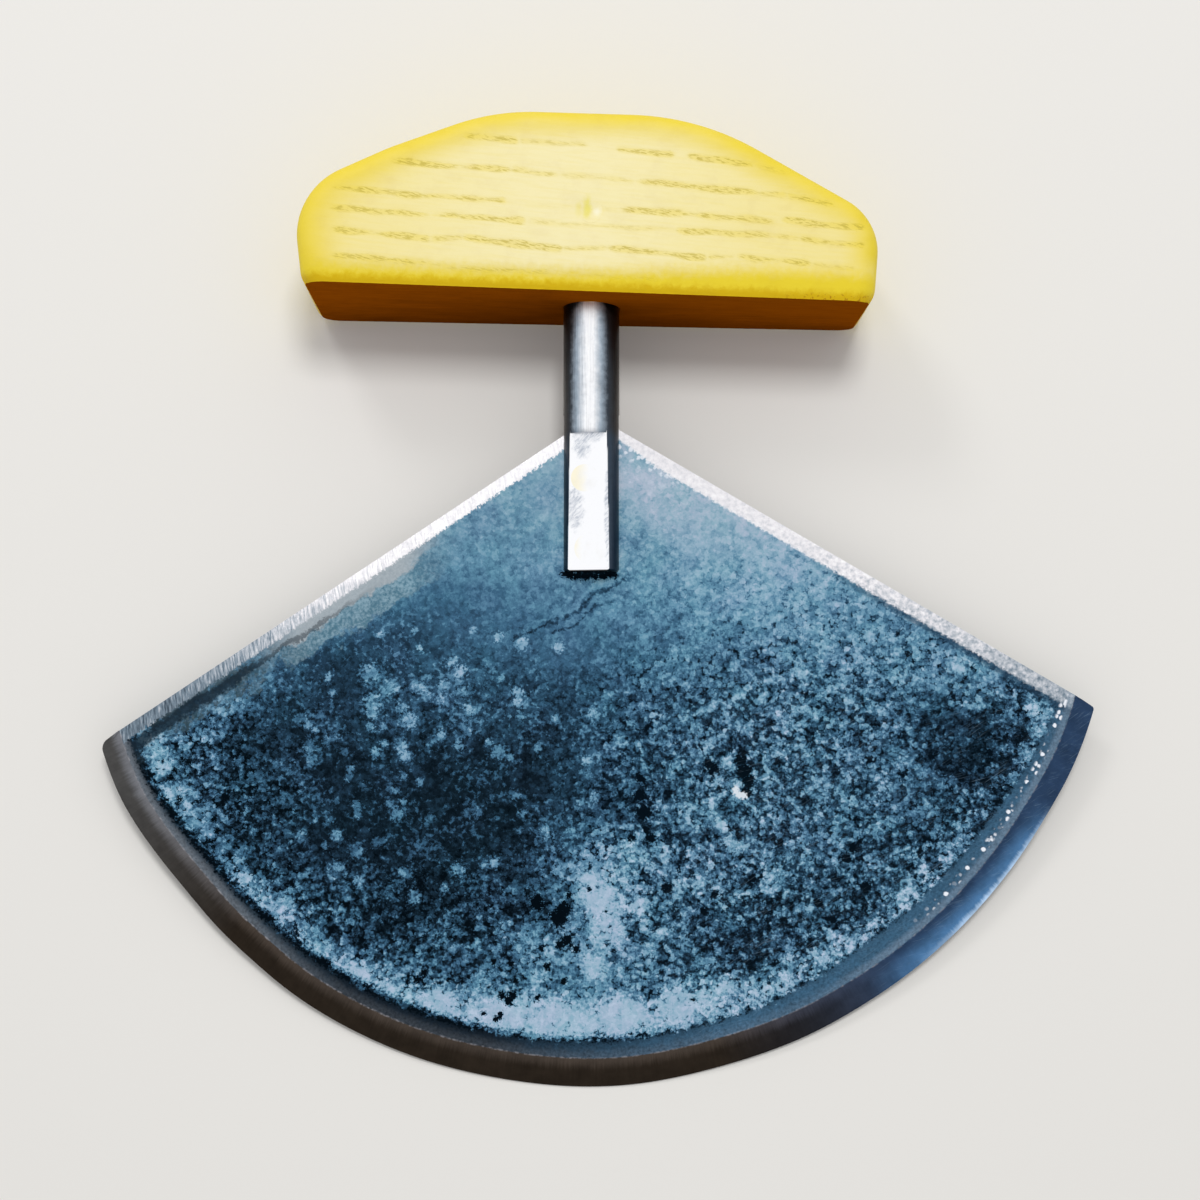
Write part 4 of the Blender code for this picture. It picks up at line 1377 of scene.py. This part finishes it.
def handle_shape(sizes, radius, reach):
    """The outlines joined and rounded, then sawn, bored to a radius and reach, and scored into a grid."""
    bm = bmesh.new()
    rims = []
    for fall, level in (
        (sizes.back_slope, -sizes.thickness / 2),
        (sizes.front_slope, sizes.thickness / 2),
    ):
        ring = [bm.verts.new((point.x, point.y, level)) for point in handle_outline(sizes, fall)]
        rims += bm.faces.new(ring).edges
    bmesh.ops.bridge_loops(bm, edges=rims)
    bmesh.ops.recalc_face_normals(bm, faces=bm.faces)
    round_off = {"offset_type": "OFFSET", "segments": 9, "profile": 0.5, "affect": "EDGES"}
    bmesh.ops.bevel(bm, geom=rims, offset=sizes.rounding, clamp_overlap=True, material=-1, **round_off)
    bore = turned(((0, -radius), (radius, -radius), (radius, reach), (0, reach)), segments=96)
    bm = carve(bm, [sawn_block(sizes), upright(bore, (0, 0, 0))])
    shifted(bm, (0, sizes.foot, 0))
    for axis, step in enumerate(HANDLE_GRID):
        score_grid(bm, axis, step, lambda face: abs(face.normal.z) > 0.3)
    bm.normal_update()
    front = [edge for edge in bm.edges if all(face.normal.z > 0.3 for face in edge.link_faces)]
    bmesh.ops.subdivide_edges(bm, edges=front, cuts=1, use_grid_fill=True)
    bm.normal_update()
    return bm


def underside(sizes, place):
    """The height of the sawn underside at a place, above the handle's foot."""
    middle = (sizes.front_slope + sizes.back_slope) / 2
    fall = middle + (sizes.front_slope - sizes.back_slope) * place.z / sizes.thickness
    return sizes.front_lift * (0.5 + place.z / sizes.thickness) - place.x * math.tan(fall)


def sawn_block(sizes):
    """What the saw takes off under the handle: a block with its top twisted as the underside is."""
    bm = block(
        Vector((-sizes.long_side, -sizes.height, -sizes.thickness)),
        Vector((sizes.long_side, 0, sizes.thickness)),
    )
    along = [edge for edge in bm.edges if edge.verts[0].co.x != edge.verts[1].co.x]
    bmesh.ops.subdivide_edges(bm, edges=along, cuts=95)
    for vert in bm.verts:
        if vert.co.y > -SNAP:
            vert.co.y = underside(sizes, vert.co)
    return bm


def pore_strength(place):
    """How near a place on the front is to a line of open pores, in millimetres."""
    strongest = 0.0
    wander = 0.5 * roughly(place.x, place.y * 3, 5, 2.0)
    for start, end, strength in GRAIN_LINES:
        start, end = Vector(start), Vector(end)
        line = end - start
        share = (place - start).dot(line) / line.length_squared
        if -0.05 < share < 1.05:
            off = abs((place - start).cross(line)) / line.length + wander
            ends = smooth(share, -0.05, 0.1) * smooth(share, 1.05, 0.93)
            uneven = 1.0 + 0.4 * roughly(place.x, place.y, 3.5, 4.0)
            strongest = max(strongest, strength * ends * uneven * math.exp(-((off / 0.55) ** 2)))
    return strongest


def border_distances(sizes):
    """A function that gives a point's distances in from the handle's upper outline and its lower arris."""
    last_low = 2 * (CORNER_STEPS + 1)
    outline = [point + Vector((0, sizes.foot)) for point in handle_outline(sizes, sizes.front_slope)]
    upper = outline[last_low:] + outline[:1]

    def measure(place):
        nearest = min(distance_to(place, start, end) for start, end in zip(upper, upper[1:]))
        lower = place.y - sizes.foot - sizes.front_lift + place.x * math.tan(sizes.front_slope)
        return nearest / MM, lower / MM

    return measure


class ULU_OT_handle(bpy.types.Operator):
    """Makes the painted handle"""

    bl_idname = "ulu.handle"
    bl_label = "Handle"

    def execute(self, context):
        sizes = context.scene.ulu_handle
        stem = context.scene.ulu_stem
        bm = handle_shape(sizes, stem.diameter / 2 + MM / 10, stem.tang)
        measure = border_distances(sizes)
        known = {}

        def looks(point):
            """Distances in from the upper outline and the lower arris, and pores, for the paint."""
            key = (round(point.x, 5), round(point.y, 5))
            if key not in known:
                known[key] = (*measure(point.xy), pore_strength(point.xy / MM))
            border, lower, pores = known[key]
            return Vector((border, lower, pores if point.z > 0 else 0.0))

        store(bm, "looks", looks)
        press_handle(bm, sizes)
        material = paint_material("painted_ash", context.scene.ulu_finishes)
        bm.normal_update()
        for face in bm.faces:
            centre = face.calc_center_median()
            low = centre.y - sizes.foot - underside(sizes, centre)
            face.material_index = 1 if face.normal.y < -0.9 and abs(low) < MM / 2 else 0
        piece = finish_piece("painted_handle", bm, material, ["handle"])
        piece.data.materials.append(shaded_underside_material(context.scene.ulu_finishes))
        return {"FINISHED"}


def dimple_depth(distance):
    """How deep the pin's dimple is at a distance from its middle, in millimetres."""
    return PIN_DIMPLE * math.exp(-((distance / DIMPLE_WIDTH) ** 2))


def press_handle(bm, sizes):
    """Rounds the front towards its lower arris, and gives it pores, ripples and the pin's dimple."""
    pin = Vector((0, sizes.foot + sizes.pin_above_foot)) / MM
    looks = bm.verts.layers.float_vector["looks"]
    bm.normal_update()
    drops = {}
    for vert in bm.verts:
        if vert.co.z < 0 or vert.normal.z < 0.3:
            continue
        place = vert.co.xy / MM
        _, lower, pores = vert[looks]
        level = smooth(vert.normal.z, 0.5, 0.95)
        wave = 0.5 + 0.5 * roughly(place.x, place.y * 2, 9.0, 3.0)
        ripple = 0.5 + 0.5 * roughly(place.x * 1.4, place.y, 1.2, 9.0)
        rippled = 0.02 + 0.07 * smooth(lower, 7.0, 3.0) * smooth(place.x, -30, 0)
        dimple = dimple_depth((place - pin).length)
        rounded = 0.45 * smooth(lower, 4.6, 0.6)
        drops[vert] = level * (0.05 * wave + 0.03 * pores + rippled * ripple + dimple) + rounded
    for vert, drop in drops.items():
        vert.co.z -= drop * MM


# Painted shade and highlight on the pin's dimple, two yellow strokes for its shaded wall beside a pale spot
# for its lit wall, in millimetres: middle, how much it is shrunk, strength and colour
PIN_SHADE_MARKS = (
    ((-0.68, 59.45), (1.1, 0.42), 0.8, (240, 228, 104)),
    ((-2.2, 59.4), (1.3, 0.62), 0.4, (244, 230, 120)),
    ((1.05, 58.75), (1.3, 1.1), 0.8, (255, 249, 218)),
)


def paint_material(name, finishes):
    """Yellow paint with a painted highlight paling the broad faces, sunk into the open grain, and darker and
    nicked at the lower arris, the darker band being painted shade.
    """
    material, tree, shader = new_material(name)
    vector = knife_vector(tree)
    border, lower, pores = attribute(tree, "looks")
    x, _, z = split(vector)

    # Painted highlight: the broad faces paled to cream, most near the middle, and full yellow towards the
    # outline
    clouds = fog(stretched(vector, (0.06, 0.2, 0.1)), 1.0, 4.0, 0.6) - 0.5
    fibres = fog(stretched(vector, (0.16, 2.4, 0.5), 0.1), 1.0, 4.0, 0.65)
    leather = fog(vector, 0.8, 4.0, 0.62, 0.3)
    edge = border + clouds * 3.0
    arris = lower + (leather - 0.5) * 2.2
    rubbed = blend(rise(x, -30.0, -48.0), rise(edge, -0.2, 7.6), rise(edge, -1.0, 11.0))
    rubbed *= rise(arris - blend(rise(x, -10.0, 36.0), 0.0, 1.6), 1.2, 5.4)
    rubbed *= blend(rise(abs(x + 4.0) * 0.025, 0.0, 1.2), 1.0, 0.64)
    rubbed *= rise(abs(z), 10.4, 11.6)
    tint = mix(rubbed * spread(fibres, 0.3, 0.7, 0.84, 1.06), finishes.yellow, finishes.highlight_cream)
    # Painted shade along the lower arris
    tint = mix(rise(arris, 2.3, 0.5), tint, finishes.deep)
    open_grain = fog(stretched(vector, (0.14, 2.0, 1.4), 0.06), 1.0, 3.0, 0.6)
    open_grain = rise(open_grain, 0.54, 0.7) * rise(abs(z), 11.6, 9.6)
    tint = mix(open_grain * 0.35, tint, finishes.pore)

    # Open pores: short slanting ticks gathered in lines, over a faint yellow that runs on between them
    ticks = fog(stretched(vector, (0.9, 4.4, 1.0), 0.24), 1.0, 2.0, 0.5)
    ticks = rise(ticks, 0.46, 0.62) * rise(pores, 0.1, 0.9)
    tint = mix(rise(pores, 0.0, 0.8) * 0.38, tint, finishes.yellow)
    tint = mix(ticks * 0.6, tint, finishes.pore)
    tint = mix(rise(fibres, 0.56, 0.72) * 0.12, tint, finishes.yellow)

    # Painted shade and highlight on the pin's dimple
    frontmost = rise(z, 8.0, 11.0)
    for middle, shrink, strength, mark in PIN_SHADE_MARKS:
        spot = rise(spot_reach(vector, middle, shrink, (leather - 0.5) * 1.2), 1.2, 0.2) * frontmost
        tint = mix(spot * strength, tint, shade(*mark))

    # The arris is nicked at its right end
    nicks = rise(fog(vector, 1.6, 3.0, 0.6), 0.56, 0.64) * rise(abs(lower - 0.3), 1.2, 0.2)
    tint = mix(nicks * rise(x, 30.0, 40.0) * 0.6, tint, finishes.ochre)
    tint = mix(use_group(tree, "grime_and_shade", amount=0.05), tint, finishes.ochre)
    inputs = {"Base Color": tint, "Roughness": blend(ticks, 0.46, 0.62), "Specular IOR Level": 0.15}
    finish_shader(shader, inputs, leather * 0.5 - ticks * 0.3 + fibres * 0.3, depth=0.00008)
    return material


def shaded_underside_material(finishes):
    """The sawn underside, matt, painted brown as painted shade and darker towards the back."""
    material, tree, shader = new_material("shaded_underside_ash")
    vector = knife_vector(tree)
    x, _, z = split(vector)
    clouds = fog(stretched(vector, (0.06, 0.2, 0.2)), 1.0, 4.0, 0.6) - 0.5
    fibres = fog(stretched(vector, (0.16, 1.0, 2.0)), 1.0, 4.0, 0.65)
    wiped = z + clouds * 24.0 + abs(x + 8.0) * 0.24
    tint = mix(rise(wiped, -13.0, 16.5), finishes.underside_shade, finishes.ochre)
    tint = times(tint, spread(fibres, 0.3, 0.7, 0.84, 1.12))
    tint = mix(use_group(tree, "grime_and_shade", amount=0.15), tint, finishes.underside_shade)
    inputs = {"Base Color": tint, "Roughness": blend(fibres, 0.6, 0.8), "Specular IOR Level": 0.0}
    finish_shader(shader, inputs, fibres, depth=0.00005)
    return material


# The filler's depth, how far it lies below the paint in millimetres, and the rings of its dished face
PLUG_DEPTH = 0.003
PLUG_SUNK = 0.015
PLUG_RINGS = 12


class ULU_OT_pin(bpy.types.Operator):
    """Makes the filler over the cross pin, and finishes the pin"""

    bl_idname = "ulu.pin"
    bl_label = "Cross pin and filler"

    def execute(self, context):
        sizes = context.scene.ulu_handle
        radius = sizes.plug / 2
        front = sizes.thickness / 2
        rings = [radius * i / PLUG_RINGS for i in range(PLUG_RINGS, -1, -1)]
        dished = [(ring, front - MM * (dimple_depth(ring / MM) + PLUG_SUNK)) for ring in rings]
        bm = turned([(0, front - PLUG_DEPTH), (radius, front - PLUG_DEPTH), *dished], segments=48)
        shifted(bm, (0, sizes.foot + sizes.pin_above_foot, 0))
        store(bm, "looks", lambda point: Vector((14.0, 14.0, 0.0)))
        material = paint_material("painted_filler", context.scene.ulu_finishes)
        finish_piece("filler_plug", bm, material, ["pin_plug"])
        wire, tree, shader = new_material("drawn_pin_steel")
        drawn = fog(stretched(knife_vector(tree), (3.0, 3.0, 0.15)), 1.0, 3.0)
        tint = mix(drawn, shade(120, 120, 124), shade(190, 190, 194))
        inputs = {"Base Color": tint, "Roughness": blend(drawn, 0.3, 0.5), "Metallic": 1.0}
        finish_shader(shader, inputs)
        frame["nodes"]["tang_pin"].material_slots[0].material = wire
        return {"FINISHED"}


# Stage

# The camera in the knife's axes: over the blade, leaning to look up along the stem
CAMERA_PLACE = Vector((0.00154, -0.0450, 0.3858))
CAMERA_LEAN = math.radians(5.48)


class ULU_OT_stage(bpy.types.Operator):
    """Sets the floor, the light and the camera"""

    bl_idname = "ulu.stage"
    bl_label = "Stage"

    def execute(self, context):
        scene = context.scene
        stage = scene.ulu_stage
        scene.view_settings.view_transform = "Standard"

        bm = bmesh.new()
        bmesh.ops.create_grid(bm, x_segments=8, y_segments=8, size=2.0)
        floor = show("pale_floor", mesh_from("pale_floor", bm))
        material, _, shader = new_material("pale_floor")
        inputs = {"Base Color": opaque(stage.floor), "Roughness": 0.9, "Specular IOR Level": 0.1}
        finish_shader(shader, inputs)
        floor.data.materials.append(material)

        world = bpy.data.worlds.new("studio")
        world.use_nodes = True
        scene.world = world
        tree = world.node_tree
        rays = add_node(tree, "LightPath").outputs
        seen = larger(Field(rays["Is Camera Ray"]), Field(rays["Is Glossy Ray"]))
        seen = larger(seen, Field(rays["Is Transmission Ray"]))
        background = tree.nodes["Background"]
        background.inputs["Color"].default_value = (1, 1, 1, 1)
        put(blend(seen, stage.ambient, 1.0), background.inputs["Strength"])

        # The key lamp hangs over the handle's end and the side lamp stands lower, for the metal's sheen
        for name, place, size, power, in_sheen in (
            ("key_lamp", Vector((0.10, 0.40, 1.10)), 0.30, stage.key, False),
            ("side_lamp", Vector((-0.45, 0.75, 0.65)), 0.25, stage.side, True),
        ):
            lamp = bpy.data.lights.new(name, "AREA")
            lamp.energy = power
            lamp.size = size
            made = show(name, lamp)
            made.location = place
            made.rotation_euler = place.to_track_quat("Z", "Y").to_euler()
            made.visible_glossy = in_sheen

        view = bpy.data.cameras.new("photo_view")
        view.lens = stage.lens
        view.sensor_width = 36
        view.clip_start = 0.01
        camera = show("photo_view", view)
        eye = Matrix.Translation(CAMERA_PLACE) @ Matrix.Rotation(CAMERA_LEAN, 4, "X")
        camera.matrix_world = KNIFE @ eye
        scene.camera = camera
        return {"FINISHED"}


class ULU_PT_dressing(bpy.types.Panel):
    """Sizes, finishes and steps of the ulu knife"""

    bl_idname = "ULU_PT_dressing"
    bl_label = "Ulu Knife"
    bl_space_type = "VIEW_3D"
    bl_region_type = "UI"
    bl_category = "Ulu"

    def draw(self, context):
        for name in PROPERTY_GROUPS:
            group = getattr(context.scene, name)
            column = self.layout.column(align=True)
            column.label(text=group.bl_rna.description)
            for key in group.__annotations__:
                column.prop(group, key)
        for operator in OPERATORS:
            self.layout.operator(operator.bl_idname)


PROPERTY_GROUPS = {
    "ulu_blade": UluBladeSizes,
    "ulu_stem": UluStemSizes,
    "ulu_handle": UluHandleSizes,
    "ulu_finishes": UluFinishes,
    "ulu_stage": UluStage,
}
OPERATORS = (
    ULU_OT_blade,
    ULU_OT_stem,
    ULU_OT_rivets,
    ULU_OT_handle,
    ULU_OT_pin,
    ULU_OT_stage,
)

# Filled by main: the shared node groups, and the matrix from the knife's own axes to the frame
GROUPS = {}
KNIFE = Matrix.Identity(4)


def register():
    for name, group in PROPERTY_GROUPS.items():
        bpy.utils.register_class(group)
        setattr(bpy.types.Scene, name, PointerProperty(type=group))
    for item in (*OPERATORS, ULU_PT_dressing):
        bpy.utils.register_class(item)


def unregister():
    for item in (ULU_PT_dressing, *reversed(OPERATORS)):
        bpy.utils.unregister_class(item)
    for name, group in PROPERTY_GROUPS.items():
        delattr(bpy.types.Scene, name)
        bpy.utils.unregister_class(group)


def main():
    global KNIFE
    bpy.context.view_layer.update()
    register()
    for item in list(bpy.data.objects):
        if item.type in {"CAMERA", "LIGHT"} or item.name == "Cube":
            bpy.data.objects.remove(item, do_unlink=True)
    KNIFE = knife_frame(bpy.context.scene.ulu_handle)
    GROUPS["scratches"] = scratch_group()
    GROUPS["grime_and_shade"] = grime_group()
    for operator in OPERATORS:
        family, name = operator.bl_idname.split(".")
        getattr(getattr(bpy.ops, family), name)()


if __name__ == "__main__":
    main()
